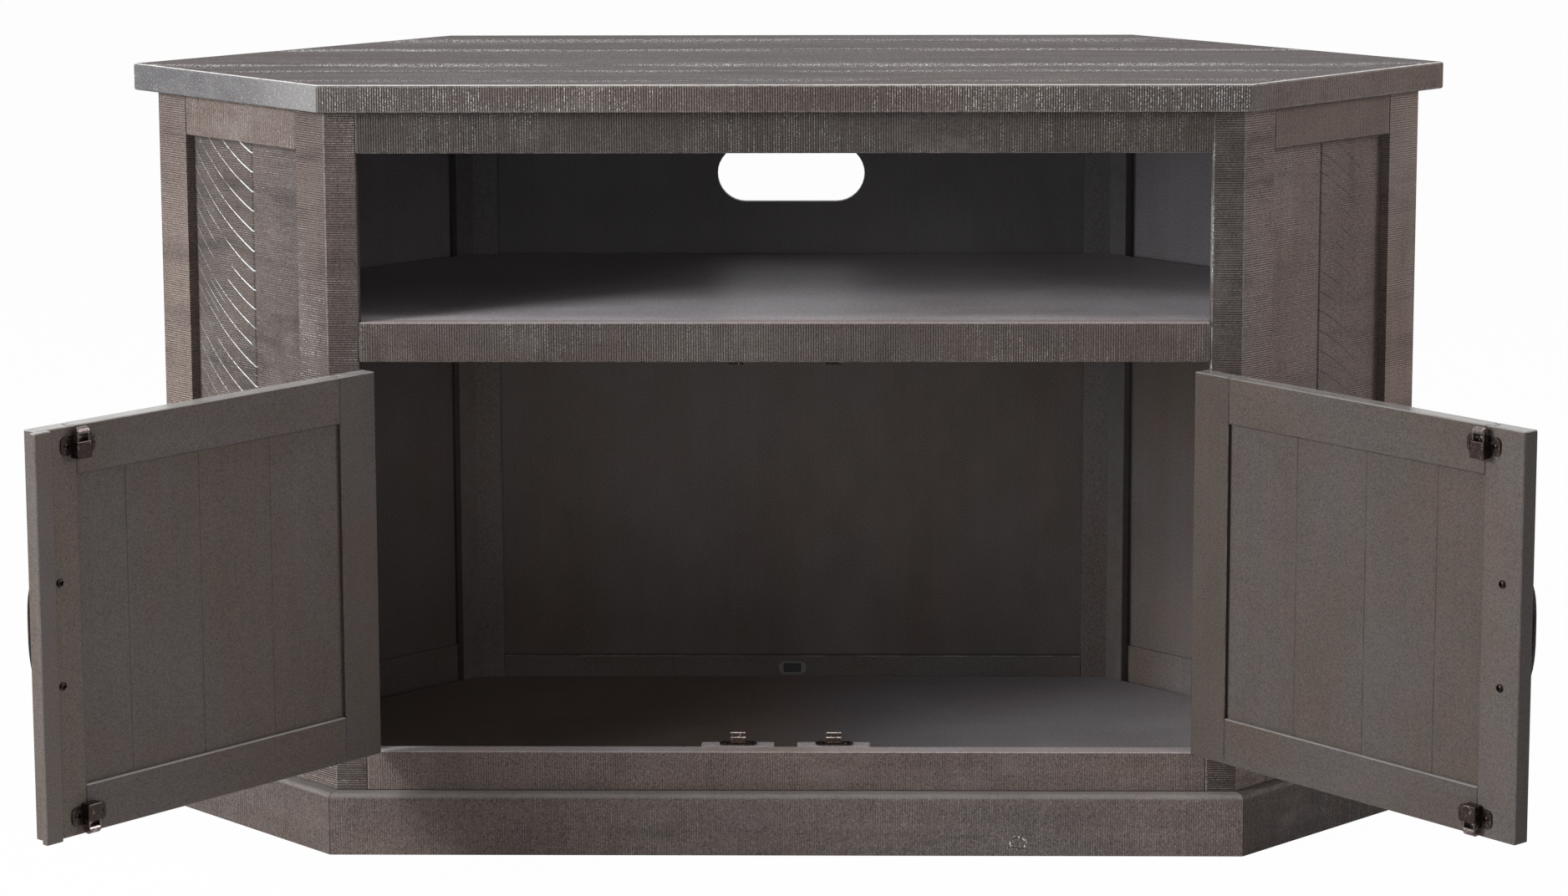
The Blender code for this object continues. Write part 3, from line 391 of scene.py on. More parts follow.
    def finish(self, color, roughness, height, distance, specular):
        self.feed(self.shader.inputs["Base Color"], color)
        self.feed(self.shader.inputs["Roughness"], roughness)
        self.shader.inputs["Specular IOR Level"].default_value = specular
        bump = self.node("ShaderNodeBump")
        bump.inputs["Distance"].default_value = distance
        bump.inputs["Strength"].default_value = 1.0
        self.feed(bump.inputs["Height"], height)
        self.tree.links.new(bump.outputs["Normal"], self.shader.inputs["Normal"])
        return self.material


def opposite(vector):
    return tuple(-part for part in vector)


def both(*directions):
    """Each direction and its opposite."""
    return [way for direction in directions for way in (direction, opposite(direction))]


def across_both(along, across):
    """The direction at right angles to a board's length and width."""
    return tuple(Vector(along).cross(Vector(across)))


def sawn_surface(
    g, pitch=LEVEL_PITCH, tone=1.0, ridges=1.0, specks=1.0, haze=1.0, stain=1.0, wear=1.0, chops=0.2,
    bands=0.3, faces=()
):
    """Rough-sawn stained oak: saw ridges across the board with painted light and shade, grain along it,
    painted glints on the crests, and worn edges.
    """
    # Ridges: a wave along the board with a sharper overtone, uneven, nicked and single lines stronger;
    # in the colour, their light crests and dark grooves are painted light and shade
    wander = g.math("MULTIPLY_ADD", g.swing((9, 3, 3)), RIDGE_WANDER, g.x)
    turn = g.math("MULTIPLY", wander, math.tau / pitch)
    wave = g.math("SINE", turn)
    overtone = g.math("SINE", g.math("MULTIPLY_ADD", turn, 2.0, 0.9))
    sharp = g.math("MULTIPLY_ADD", overtone, 0.35, wave)
    strength = g.patches((26, 13, 13), 0.36, 0.62, 0.40, 1.15)
    nicked = g.patches((330, 300, 300), 0.34, 0.60, 0.35, 1.25, roughness=0.6)
    single = g.patches((230, 16, 16), 0.32, 0.66, 0.45, 1.35, detail=1)
    ridge = g.product(sharp, strength, nicked, single, ridges)
    chop = g.patches((560, 300, 300), 0.36, 0.64, -0.5, 0.5, roughness=0.6)

    # The wood: grain, fibre and pores over a body that drifts in tint
    grain = g.swing((2.6, 120, 120), 5, 0.62)
    fibre = g.swing((620, 820, 820), 2, 0.7)
    pores = g.swing((400, 520, 520), 2, 0.6)
    cloud = g.patches((5, 9, 9), 0.3, 0.7, detail=3, roughness=0.55)
    cool = g.patches((2.4, 7, 7), 0.4, 0.75, 0, 0.45)
    body = g.mix(cool, g.mix(cloud, SAWN_DARK, SAWN_LIGHT), SAWN_COOL)
    # The ridges and the chops lighten and darken the colour: painted light and shade on the saw's
    # relief, over the bump
    shade = g.around((ridge, 0.48), (grain, 0.45), (fibre, 2.0), (pores, 1.0), (chop, 0.34 * chops))
    color = g.scaled(body, g.math("MULTIPLY", g.math("MAXIMUM", shade, 0.22), tone))

    # Stain: pale haze, dark patches, and smudged bands across the board
    pale_patch = g.patches((9, 17, 17), 0.52, 0.78, detail=4, roughness=0.6)
    color = g.mix(g.math("MULTIPLY", pale_patch, 0.24 * haze), color, SAWN_PALE)
    dark_patch = g.patches((5, 26, 26), 0.60, 0.80, detail=3, roughness=0.6, distortion=0.6)
    color = g.mix(g.math("MULTIPLY", dark_patch, 0.45 * stain), color, STAIN)
    smudge = g.patches((42, 9, 9), 0.46, 0.72, detail=4, roughness=0.6)
    color = g.scaled(color, g.math("MULTIPLY_ADD", smudge, -0.45 * bands, 1.0 + 0.10 * bands))

    # Painted glints: white flecks on the crests of the ridges, in columns and zones
    crest = g.ramp(wave, 0.3, 0.95)
    dash = g.patches((900, 1000, 1000), 0.53, 0.60, detail=1)
    column = g.patches((260, 22, 22), 0.42, 0.60, 0.12, 1.0)
    zone = g.patches((9, 14, 14), 0.36, 0.58, 0.2, 1.0)
    crest_glints = g.product(crest, dash, column, zone, specks)
    color = g.mix(g.capped(crest_glints, 0.85), color, SPECK_GLINT)

    height = g.math("MULTIPLY_ADD", ridge, 0.5, g.math("MULTIPLY", grain, 0.8))
    height = g.math("MULTIPLY_ADD", fibre, 0.6, g.math("MULTIPLY_ADD", pores, 0.6, height))
    height = g.math("MULTIPLY_ADD", chop, 0.7 * chops, height)
    if faces:
        chipped = g.patches((120, 150, 150), 0.34, 0.62, 0.10, 0.9, detail=3, roughness=0.6)
        rubbed = g.product(g.edge(faces), chipped, wear)
        color = g.mix(g.capped(rubbed, 0.75), color, SAWN_PALE)
    roughness = g.math("MULTIPLY_ADD", grain, 0.25, 0.68)
    return color, roughness, height


def painted_surface(g, tone=1.0, cool=0.5, mottle=1.0, faces=(), wear=0.5, worn=WORN_PAINT):
    """Smooth grey paint over a fine grain, a little uneven in colour and sheen."""
    grain = g.swing((3, 150, 150), 4, 0.6)
    cloud = g.noise((5, 8, 8), 3, 0.55)
    patch = g.noise((16, 24, 24))
    skin = g.swing((760, 760, 760), 1, 0.6)
    olive = g.patches((24, 30, 30), 0.35, 0.65, 0.25, 0.75, detail=3, roughness=0.6)
    warm = g.mix(olive, PAINT_WARM, PAINT_OLIVE)
    cooler = g.math("MULTIPLY_ADD", g.ramp(cloud, 0.3, 0.7), 0.6, g.math("SUBTRACT", cool, 0.3))
    body = g.mix(cooler, warm, PAINT_COOL)
    shade = g.around(
        (grain, 0.16), (g.centred(cloud), 0.36 * mottle), (g.centred(patch), 0.24 * mottle), (skin, 1.6)
    )
    color = g.scaled(body, g.math("MULTIPLY", shade, tone))
    if faces:
        chipped = g.patches((60, 90, 90), 0.4, 0.66, 0.1, 0.8, detail=3, roughness=0.6)
        color = g.mix(g.product(g.edge(faces), chipped, wear), color, worn)
    height = g.math("MULTIPLY_ADD", skin, 0.6, g.math("MULTIPLY", grain, 0.8))
    roughness = g.math("MULTIPLY_ADD", g.centred(patch), 0.2, 0.46)
    return color, roughness, height


def arris_glints(g, color, strength):
    """Painted glints: white flecks along the arrises beside the door opening."""
    beside = g.math("SUBTRACT", g.math("ABSOLUTE", g.y), OPENING_HALF)
    chips = g.patches((420, 700, 700), 0.49, 0.58)
    runs = g.patches((34, 10, 10), 0.40, 0.58, 0.12, 1.0)
    broken = g.product(g.ramp(beside, 0.0, ARRIS_WIDTH, 1, 0), chips, runs, strength)
    return g.mix(g.capped(broken, 0.8), color, SPECK_GLINT)


def painted_crown_highlight(g, color):
    """A painted highlight on an upper edge, where it faces up, broken by noise."""
    lifted = g.ramp(g.dot(g.normal, Z), 0.12, 0.75)
    uneven = g.patches((14, 60, 60), 0.3, 0.7, 0.55, 1.0, detail=3, roughness=0.6)
    return g.mix(g.product(lifted, uneven, 0.75), color, CROWN_HIGHLIGHT)


def knotted(g, color, knot):
    """A knot's dark ring, chipped pale."""
    off_x = g.math("DIVIDE", g.math("SUBTRACT", g.x, knot[0]), knot[2])
    off_y = g.math("DIVIDE", g.math("SUBTRACT", g.y, knot[1]), knot[3])
    far = g.math("SQRT", g.math("ADD", g.product(off_x, off_x), g.product(off_y, off_y)))
    ring = g.away(g.math("MULTIPLY_ADD", g.swing((160, 160, 160)), 0.9, far), 1.0)
    color = g.mix(g.ramp(ring, 0.05, 0.26, 0.75, 0), color, STAIN)
    chips = g.patches((430, 430, 430), 0.54, 0.62, detail=1)
    return g.mix(g.product(g.ramp(ring, 0.15, 0.5, 1, 0), chips, 0.75), color, SPECK_GLINT)


def sawn(
    name, along, across, seed, painted_top=False, turned=None, turned_tone=1.0, arris_glint=0.0, crown_highlight=False,
    knot=None, **look
):
    """A sawn board. A post's turned face, the one on the side wall, has its own tone."""
    g = Graph(name, along, across, seed)
    if turned:
        look["tone"] = g.blend(g.facing(turned, 0.8, 0.9), look["tone"], turned_tone)
    look.setdefault("faces", both(along, across, across_both(along, across)))
    look.setdefault("pitch", UPRIGHT_PITCH if along == Z else LEVEL_PITCH)
    color, roughness, height = sawn_surface(g, **look)
    if arris_glint:
        color = arris_glints(g, color, arris_glint)
    if crown_highlight:
        color = painted_crown_highlight(g, color)
    if knot:
        color = knotted(g, color, knot)
    # The painted upper face is pale partly from its paint and partly from painted light
    if painted_top:
        upper_color, upper_rough, upper_height = painted_surface(g, tone=RAIL_TOP_TONE, cool=0.6)
        upper = g.facing(Z)
        color = g.mix(upper, color, upper_color)
        roughness = g.blend(upper, roughness, upper_rough)
        height = g.blend(upper, height, g.math("MULTIPLY", upper_height, 0.5))
    return g.finish(color, roughness, height, SAWN_BUMP, SAWN_SPECULAR)


def painted(name, along, across, seed, above_shelf_shading=None, inward=None, beside=None, **look):
    """A painted board; its inward face above the shelf, or its left part, can take another tone and
    coolness: painted light and shade.
    """
    g = Graph(name, along, across, seed)
    look.setdefault("faces", both(along, across, across_both(along, across)))
    # Painted light and shade: above the shelf the inward face takes its own tone and coolness
    if above_shelf_shading:
        upper = g.ramp(g.dot(g.place, Z), SHELF_LEVEL - SHELF_FADE, SHELF_LEVEL)
        upper = g.math("MULTIPLY", upper, g.facing(inward, 0.0, 0.3))
        look["tone"] = g.blend(upper, look["tone"], above_shelf_shading[0])
        look["cool"] = g.blend(upper, look["cool"], above_shelf_shading[1])
    # Painted shade: the left part takes its own tone and coolness
    if beside:
        left = g.ramp(g.x, -FLOOR_FADE, FLOOR_FADE, 1.0, 0.0)
        look["tone"] = g.blend(left, look["tone"], beside[0])
        look["cool"] = g.blend(left, look["cool"], beside[1])
    color, roughness, height = painted_surface(g, **look)
    return g.finish(color, roughness, height, PAINT_BUMP, PAINT_SPECULAR)


def slab_left_end(g):
    """The slab's greyer left end, paler towards the front corner."""
    cloudy = g.patches((14, 14, 14), 0.42, 0.70, detail=4, roughness=0.6)
    paler = g.math("MAXIMUM", g.math("MULTIPLY", cloudy, 0.55), g.ramp(g.x, *PALE_CORNER))
    grit = g.swing((600, 600, 600), 3, 0.7)
    color = g.scaled(g.mix(paler, END_DARK, END_PALE), g.around((grit, 1.5)))
    speckle = g.patches((820, 820, 820), 0.64, 0.72, 0, 0.5, detail=1)
    return g.mix(speckle, color, SPECK_GLINT)


def slab_upper_face(g):
    """Long bowed grain, faint saw lines across it, and bands of white flecks."""
    streak = g.swing((1.6, 150, 150), 5, 0.65)
    broad = g.swing((1.2, 16, 16), 3, 0.5)
    fibre = g.swing((420, 300, 300), 3, 0.7)
    bow = g.math("POWER", g.away(g.x, GRAIN_BOW_X), 2.0)
    bowed = g.math("MULTIPLY_ADD", bow, GRAIN_BOW, g.y)
    drift = g.math("MULTIPLY_ADD", g.swing((3, 8, 8), 3), 0.03, bowed)
    ringed = g.math("SINE", g.math("MULTIPLY", drift, GRAIN_TURNS))
    wander = g.math("MULTIPLY_ADD", g.swing((9, 5, 5)), 0.003, g.x)
    skewed = g.math("MULTIPLY_ADD", g.y, 0.06, wander)
    sawn_across = g.math("SINE", g.math("MULTIPLY", skewed, math.tau / SLAB_SAW_PITCH))
    present = g.patches((14, 22, 22), 0.38, 0.62, 0.1, 1.0, detail=3)
    shade = g.around(
        (streak, 1.15), (broad, 0.45), (ringed, 0.05), (fibre, 2.1),
        (g.product(sawn_across, present), 0.17)
    )
    tinted = g.mix(g.patches((2, 9, 9), 0.35, 0.7, detail=3), SLAB_WARM, SLAB_COOL)
    band = FLECKS_ELSEWHERE
    for depth, width, density in FLECK_BANDS:
        band = g.math("MAXIMUM", band, g.ramp(g.away(g.y, depth), 0, width, density, 0))
    scatter = g.patches((1100, 260, 10), 0.545, 0.62, detail=1)
    groups = g.patches((6, 40, 5), 0.34, 0.54, detail=3)
    color = g.mix(g.product(band, scatter, groups, 0.95), g.scaled(tinted, shade), SLAB_FLECK)
    height = g.math("MULTIPLY_ADD", scatter, 0.25, g.math("MULTIPLY_ADD", fibre, 0.8, streak))
    return color, height


def top_finish():
    """The slab: ridged front, plainer oblique ends, and an upper face with long grain and flecks."""
    g = Graph("slab_sawn_oak", X, Y, 3.0)
    faces = both(X, Y, Z, OUT_OF_LEFT_WALL, OUT_OF_RIGHT_WALL)
    left_end = g.facing(OUT_OF_LEFT_WALL, 0.82, 0.92)
    right_end = g.facing(OUT_OF_RIGHT_WALL, 0.82, 0.92)
    ends = g.math("MAXIMUM", left_end, right_end)
    color, roughness, height = sawn_surface(
        g, tone=g.blend(right_end, 0.77, 1.18), ridges=g.blend(ends, 2.2, 0.55),
        specks=g.blend(ends, 2.3, 0.0), faces=faces, stain=0.9
    )
    color = g.mix(g.math("MULTIPLY", left_end, 0.9), color, slab_left_end(g))
    upper_color, upper_height = slab_upper_face(g)
    on_top = g.facing(Z, 0.9, 0.97)
    color = g.mix(on_top, color, upper_color)
    height = g.blend(on_top, height, upper_height)
    # Along the rounded edge between the front and the upper face: partly rubbed wear, partly a painted
    # highlight
    lifted = g.dot(g.normal, Z)
    rim_highlight = g.math("MULTIPLY", g.ramp(lifted, 0.50, 0.66), g.ramp(lifted, 0.92, 0.98, 1, 0))
    worn = g.patches((40, 160, 160), 0.30, 0.50, 0.55, 1.0, detail=3, roughness=0.6)
    color = g.mix(g.product(rim_highlight, worn, 0.9), color, SLAB_RIM_HIGHLIGHT)
    return g.finish(color, roughness, height, SAWN_BUMP, SLAB_SPECULAR)


def side_panel_finish(side):
    """Two upright planks; the saw's arcs on the rear one carry painted highlights on the left, painted
    shade on the right.
    """
    right = side.sign > 0
    g = Graph(f"side_panel_oak_{side.word}", Z, side.along, side.seed + 5)
    distance = g.math("SUBTRACT", g.dot(g.place, side.along), WALL_START)
    rear = g.ramp(distance, PLANK_SPLIT - PLANK_SEAM, PLANK_SPLIT + PLANK_SEAM)
    color, roughness, height = sawn_surface(
        g, pitch=UPRIGHT_PITCH, tone=g.blend(rear, *side.plank_tones), ridges=side.plank_ridges,
        specks=side.plank_specks, haze=side.plank_haze, stain=0.9, chops=0.6, bands=side.plank_bands
    )

    # Which arc a point lies on: circles of one radius, stacked up the plank, bulging down or up
    reach = g.away(distance, ARC_CENTER)
    fall = g.math("SQRT", g.math("SUBTRACT", ARC_RADIUS ** 2, g.math("POWER", reach, 2.0)))
    wobble = g.math("MULTIPLY", g.swing((10, 10, 10)), 0.005)
    level = g.math("ADD", g.math("SUBTRACT" if right else "ADD", g.x, fall), wobble)
    turns = g.math("DIVIDE", g.math("SUBTRACT", level, ARC_DROP), ARC_SPACING)
    cycle = g.math("ABSOLUTE", g.centred(g.math("FRACT", turns)))
    between = g.math("ABSOLUTE", g.centred(g.math("FRACT", g.math("ADD", turns, 0.45))))

    # Arcs: thinner, dotted and fainter away from the split, with fainter ones between
    from_split = g.math("SUBTRACT", distance, PLANK_SPLIT)
    thin = g.ramp(from_split, 0.0, 0.07, 0.046, 0.024)
    line = g.ramp(cycle, g.math("MULTIPLY", thin, 0.4), thin, 1, 0)
    faint = g.ramp(between, 0.010, 0.028, g.patches((14, 14, 14), 0.55, 0.65, 0.0, 0.6, detail=1), 0)
    kept = g.patches((16, 30, 30), 0.34, 0.44)
    gap_tone = g.ramp(from_split, 0.0, 0.05, 0.6, 0.1)
    dotted = g.patches((520, 520, 520), 0.34, 0.52, gap_tone, 1, detail=1)
    reach_back = g.ramp(from_split, 0.045, 0.095, 1.0, 0.35)
    arcs = g.product(g.math("MAXIMUM", line, faint), kept, dotted, rear, reach_back)
    if not right:
        shaded = g.product(g.ramp(cycle, 0.05, 0.22, 1, 0), g.ramp(from_split, 0.0, 0.04, 1, 0), rear)
        color = g.mix(g.math("MULTIPLY", shaded, 0.45), color, ARC_SHADE)
    # The arcs' colour is painted light: white highlights on the left side, dark shade on the right
    color = g.mix(g.math("MULTIPLY", arcs, side.arc_strength), color, side.arc_shading_color)
    height = g.math("MULTIPLY_ADD", arcs, 0.6, height)
    return g.finish(color, roughness, height, SAWN_BUMP, PLANK_SPECULAR)


def door_finish(name, side, along, across, seed, tone):
    """A door board: painted towards the cabinet, sawn wood outside, painted shade on the free end and a
    painted sheen along the top.
    """
    turned = Matrix.Rotation(OPEN_ANGLE * side.sign, 3, "Z")
    run = tuple(turned @ Vector(along))
    width = tuple(turned @ Vector(across))
    out = tuple(turned @ Vector((0, -1, 0)))
    free_end = tuple(turned @ Vector((-side.sign, 0, 0)))
    g = Graph(name, run, width, seed)
    faces = both(run, width, out)
    inner_color, inner_rough, inner_height = painted_surface(
        g, tone=tone, cool=DOOR_COOL, mottle=0.5, faces=faces
    )
    pitch = UPRIGHT_PITCH if along == Z else LEVEL_PITCH
    outer_color, outer_rough, outer_height = sawn_surface(g, pitch=pitch, faces=faces)
    outside = g.facing(out, 0.2, 0.6)
    color = g.mix(outside, inner_color, outer_color)
    # Painted shade: the face at the free end is darkened
    color = g.scaled(color, g.ramp(g.dot(g.normal, free_end), 0.7, 0.9, 1.0, side.free_end_shade))
    # Painted sheen: the upward faces turn pale in noisy patches
    rubbed = g.patches((30, 120, 120), 0.3, 0.6, 0.7, 1.0, detail=3, roughness=0.6)
    color = g.mix(g.product(g.facing(Z, 0.35, 0.8), rubbed, side.door_top_sheen), color, DOOR_TOP_SHEEN)
    polished = g.blend(g.facing(Z), inner_rough, 0.12)
    roughness = g.blend(outside, polished, outer_rough)
    height = g.blend(outside, g.math("MULTIPLY", inner_height, 0.5), outer_height)
    return g.finish(color, roughness, height, DOOR_BUMP, DOOR_SPECULAR)


def metal(name, rib_highlights=()):
    """Dark plated metal, bright in rubbed spots that are partly painted highlights, with painted
    highlight lines at given heights and strengths.
    """
    seed, base, worn, roughness, texture = METALS[name]
    g = Graph(name, X, Y, seed)
    patch = g.noise((330, 330, 330), 3, 0.6)
    skin = g.swing((texture, texture, texture), 3)
    color = g.mix(g.ramp(patch, 0.56, 0.74), base, worn)
    # Painted highlights: bright broken lines at the given heights
    for height, strength in rib_highlights:
        near = g.ramp(g.away(g.dot(g.place, Z), height), 0.0002, 0.0008, 1, 0)
        broken = g.patches((500, 500, 500), 0.36, 0.56, 0.35, 1.0, detail=1)
        color = g.mix(g.product(near, broken, strength), color, RIB_HIGHLIGHT)
    g.shader.inputs["Metallic"].default_value = 1.0
    rough = g.math("MULTIPLY_ADD", g.centred(patch), 0.3, roughness)
    return g.finish(color, rough, skin, METAL_BUMP, METAL_SPECULAR)


def moulded_plastic(name, base, roughness):
    """Dark moulded plastic with a fine spark texture."""
    g = Graph(name, X, Y, 5.0)
    grit = g.swing((1400, 1400, 1400))
    color = g.mix(g.noise((120, 120, 120)), base, tuple(1.35 * part for part in base))
    rough = g.math("MULTIPLY_ADD", grit, 0.2, roughness)
    return g.finish(color, rough, grit, PLASTIC_BUMP, PLASTIC_SPECULAR)


def front_looks():
    """The slab, the rails of the face frame and the front plinth board."""
    return {
        "top_slab": top_finish(),
        "top_rail": sawn("top_rail_oak", X, Z, 11.0, tone=0.53, ridges=1.5, specks=0.7),
        "shelf_rail": sawn(
            "shelf_rail_oak", X, Z, 12.0, painted_top=True, tone=0.70, ridges=1.35, specks=0.7
        ),
        # The bottom rail and the front plinth board are toned lighter than the rails above: painted
        # light where the doors cast shade
        "bottom_rail": sawn(
            "bottom_rail_oak", X, Z, 13.0, painted_top=True, tone=1.2, ridges=0.4, specks=0.3, chops=1.0
        ),
        "plinth_front": sawn(
            "plinth_front_oak", X, Z, 14.0, tone=1.15, ridges=0.35, specks=0.3, chops=1.0, wear=0.4,
            crown_highlight=True, knot=PLINTH_KNOT
        ),
    }


def wall_looks(side):
    """One side's post, stile, rails, planks and plinth board."""
    word, seed, along, out = side.word, side.seed, side.along, side.out
    looks = {}
    looks[f"front_post_{word}"] = sawn(
        f"front_post_oak_{word}", Z, X, seed + 1, tone=side.post_tone, turned=out,
        turned_tone=side.post_turned_tone, faces=both(Y, Z, X) + [out, opposite(out), along],
        stain=1.3, bands=0.9, ridges=1.3, specks=side.post_specks, arris_glint=side.post_arris_glint
    )
    looks[f"side_rear_stile_{word}"] = sawn(
        f"rear_stile_oak_{word}", Z, along, seed + 2, tone=side.stile_tone, bands=0.6,
        specks=side.stile_specks, faces=[out, along, opposite(along), Z, opposite(Z), opposite(out)]
    )
    for place, extra in (("top", 3), ("bottom", 4)):
        looks[f"side_{place}_rail_{word}"] = sawn(
            f"side_{place}_rail_oak_{word}", along, Z, seed + extra, tone=1.15, ridges=0.85,
            specks=side.rail_specks, haze=1.2
        )
    looks[f"side_panel_{word}"] = side_panel_finish(side)
    looks[f"plinth_{word}"] = sawn(
        f"plinth_oak_{word}", along, Z, seed + 6, tone=side.plinth_tone, ridges=0.6, wear=0.4,
        specks=0.3, chops=0.8, crown_highlight=side.plinth_crown_highlight
    )
    return looks


def inside_looks(side):
    """One side's painted boards behind the doors; their tones, and those above the shelf, are partly
    painted light and shade.
    """
    word, seed = side.word, side.seed
    return {
        f"back_post_{word}": painted(
            f"back_post_paint_{word}", Z, X, seed + 7, wear=0.7, tone=1.22 * INSIDE_TONE,
            cool=side.back_post_cool, above_shelf_shading=(1.05 * INSIDE_TONE, 1.1), inward=opposite(Y)
        ),
        f"rear_panel_{word}": painted(
            f"rear_panel_paint_{word}", Z, side.along, seed + 8, wear=0.0,
            tone=side.rear_tone * INSIDE_TONE, cool=0.3,
            above_shelf_shading=(side.rear_upper_lit_tone * INSIDE_TONE, 1.2), inward=side.rear_inward
        ),
        # The pads' pale tone is partly their own colour and partly painted light on their lit upper
        # faces
        f"strike_pad_{word}": painted(f"strike_pad_paint_{word}", X, Z, seed + 9, tone=4.6, cool=0.9),
    }


def back_looks():
    """The painted back, shelf and floor board."""
    return {
        "back_rail": painted(
            "back_rail_paint", X, Z, 52.0, tone=INSIDE_TONE, cool=0.4, wear=0.9, worn=WORN_INSIDE
        ),
        "back_panel": painted(
            "back_panel_paint", Z, X, 53.0, mottle=1.7, wear=0.0, tone=0.99 * INSIDE_TONE, cool=0.25,
            above_shelf_shading=(0.90 * INSIDE_TONE, 1.1), inward=opposite(Y)
        ),
        # The light tones of the shelf and the cabinet's floor are painted light; the floor's darker left
        # part is painted shade
        "shelf": painted("shelf_paint", X, Y, 54.0, tone=3.75 * INSIDE_TONE, cool=1.1, wear=0.0),
        "floor_panel": painted(
            "floor_panel_paint", X, Y, 55.0, tone=2.6 * INSIDE_TONE, cool=1.1, wear=0.0,
            beside=(1.72 * INSIDE_TONE, -0.3)
        ),
    }


def door_looks(side):
    """The boards of one door."""
    looks = {}
    for i, (board, along, across, tone) in enumerate(DOOR_BOARDS):
        name = f"door_{side.word}_{board}"
        looks[name] = door_finish(
            f"{name}_paint", side, along, across, side.seed + 0.5 + i, tone * side.door_tone
        )
    return looks


def metal_looks():
    """Each metal by the start or end of the names of the pieces that it covers."""
    strike_low, strike_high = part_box("strike_bottom_left")
    hump = strike_high[2]
    # Heights and strengths of the painted highlight lines along the bends of the bottom strikes
    rib_highlights = ((hump - 0.0005, 0.8), (hump - 0.0052, 0.9), (strike_low[2] + 0.0005, 0.4))
    bronze = metal("bronze_rub_and_glint")
    return {
        "handle_": metal("black_iron_skin"),
        "strike_bottom_": metal("strike_bronze", rib_highlights),
        "_housing": metal("housing_bronze"),
        "_carriage": metal("roller_bronze"),
        "hinge_": bronze,
        "strike_top_": bronze,
    }


def paint_nodes(nodes):
    """Give every CAD node its finish, and return the metal of the screws."""
    looks = {**front_looks(), **back_looks()}
    for side in (LEFT, RIGHT):
        looks.update({**wall_looks(side), **inside_looks(side), **door_looks(side)})
    looks["astragal"] = door_finish("astragal_paint", LEFT, Z, X, 51.0, 1.35)
    metals = metal_looks()
    for name, node in nodes.items():
        finish = looks.get(name)
        for part, plated in metals.items():
            if name.startswith(part) or name.endswith(part):
                finish = plated
        for holder in node.material_slots:
            holder.link = "OBJECT"
            holder.material = finish
    return metals["hinge_"]


def lathe(profile, sides=28):
    """A mesh turned from (radius, height) points, closed at both ends."""
    form = bmesh.new()
    rings = []
    turns = [math.tau * i / sides for i in range(sides)]
    for radius, height in profile:
        spots = [(radius * math.cos(turn), radius * math.sin(turn), height) for turn in turns]
        rings.append([form.verts.new(spot) for spot in spots])
    form.faces.new(rings[0][::-1])
    form.faces.new(rings[-1])
    for low, high in zip(rings, rings[1:]):
        for i in range(sides):
            j = (i + 1) % sides
            form.faces.new((low[i], low[j], high[j], high[i]))
    return form


def block(form, low, high):
    """Add a box between two corners to a form."""
    for corner in bmesh.ops.create_cube(form, size=1.0)["verts"]:
        corner.co = [high[i] if corner.co[i] > 0 else low[i] for i in range(3)]


def mesh_from(form, name):
    """A mesh of the form, which is used up."""
    bmesh.ops.recalc_face_normals(form, faces=form.faces)
    made = bpy.data.meshes.new(name)
    form.to_mesh(made)
    form.free()
    return made


def placed(name, mesh_data, matrix, body, finish):
    """A piece of this mesh that rides on a body. The mesh keeps the first finish that it is given."""
    made = bpy.data.objects.new(name, mesh_data)
    made.matrix_world = matrix
    bpy.context.scene.collection.objects.link(made)
    if not mesh_data.materials:
        mesh_data.materials.append(finish)
    bpy.context.view_layer.update()
    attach(made, body)
    return made


def cut(name, mesh_data, tool_data):
    """A new mesh of what the tool leaves of the first mesh."""
    body = bpy.data.objects.new(name, mesh_data)
    tool = bpy.data.objects.new("tool", tool_data)
    for item in (body, tool):
        bpy.context.scene.collection.objects.link(item)
    change = body.modifiers.new("recess", "BOOLEAN")
    change.operation = "DIFFERENCE"
    change.object = tool
    change.solver = "EXACT"
    bpy.context.view_layer.update()
    seen = body.evaluated_get(bpy.context.evaluated_depsgraph_get())
    result = bpy.data.meshes.new_from_object(seen)
    result.name = name
    for item in (body, tool):
        bpy.data.objects.remove(item, do_unlink=True)
    return result


def screw_head(name, radius, height):
    """A domed screw head with a cross recess; its seat is at z = 0 and its dome points to +Z."""
    profile = [(radius * 0.9, -0.0004), (radius, 0.0), (radius, height * 0.22)]
    for step in range(1, 8):
        turn = math.radians(90 * step / 8)
        profile.append((radius * math.cos(turn) ** 0.8, height * (0.22 + 0.78 * math.sin(turn))))
    profile.append((radius * 0.05, height))
    head = mesh_from(lathe(profile), name)
    length, width = radius * 1.05 / 2, radius * 0.26 / 2
    for half_x, half_y in ((length, width), (width, length)):
        bar = bmesh.new()
        block(bar, (-half_x, -half_y, height * 0.35), (half_x, half_y, height * 1.5))
        head = cut(name, head, mesh_from(bar, "bar"))
    head.shade_smooth()
    head.set_sharp_from_angle(angle=math.radians(38))
    return head


def door_matrix(side, along, depth, height):
    """A frame on a door's inner face at its open rest: Z looks out of the inner face."""
    pin = Matrix.Translation((PIN[0] * side.sign, PIN[1], 0))
    turn = pin @ Matrix.Rotation(OPEN_ANGLE * side.sign, 4, "Z")
    look = Matrix.Rotation(math.radians(-90), 4, "X")
    return turn @ Matrix.Translation((-side.sign * along, depth, height)) @ look


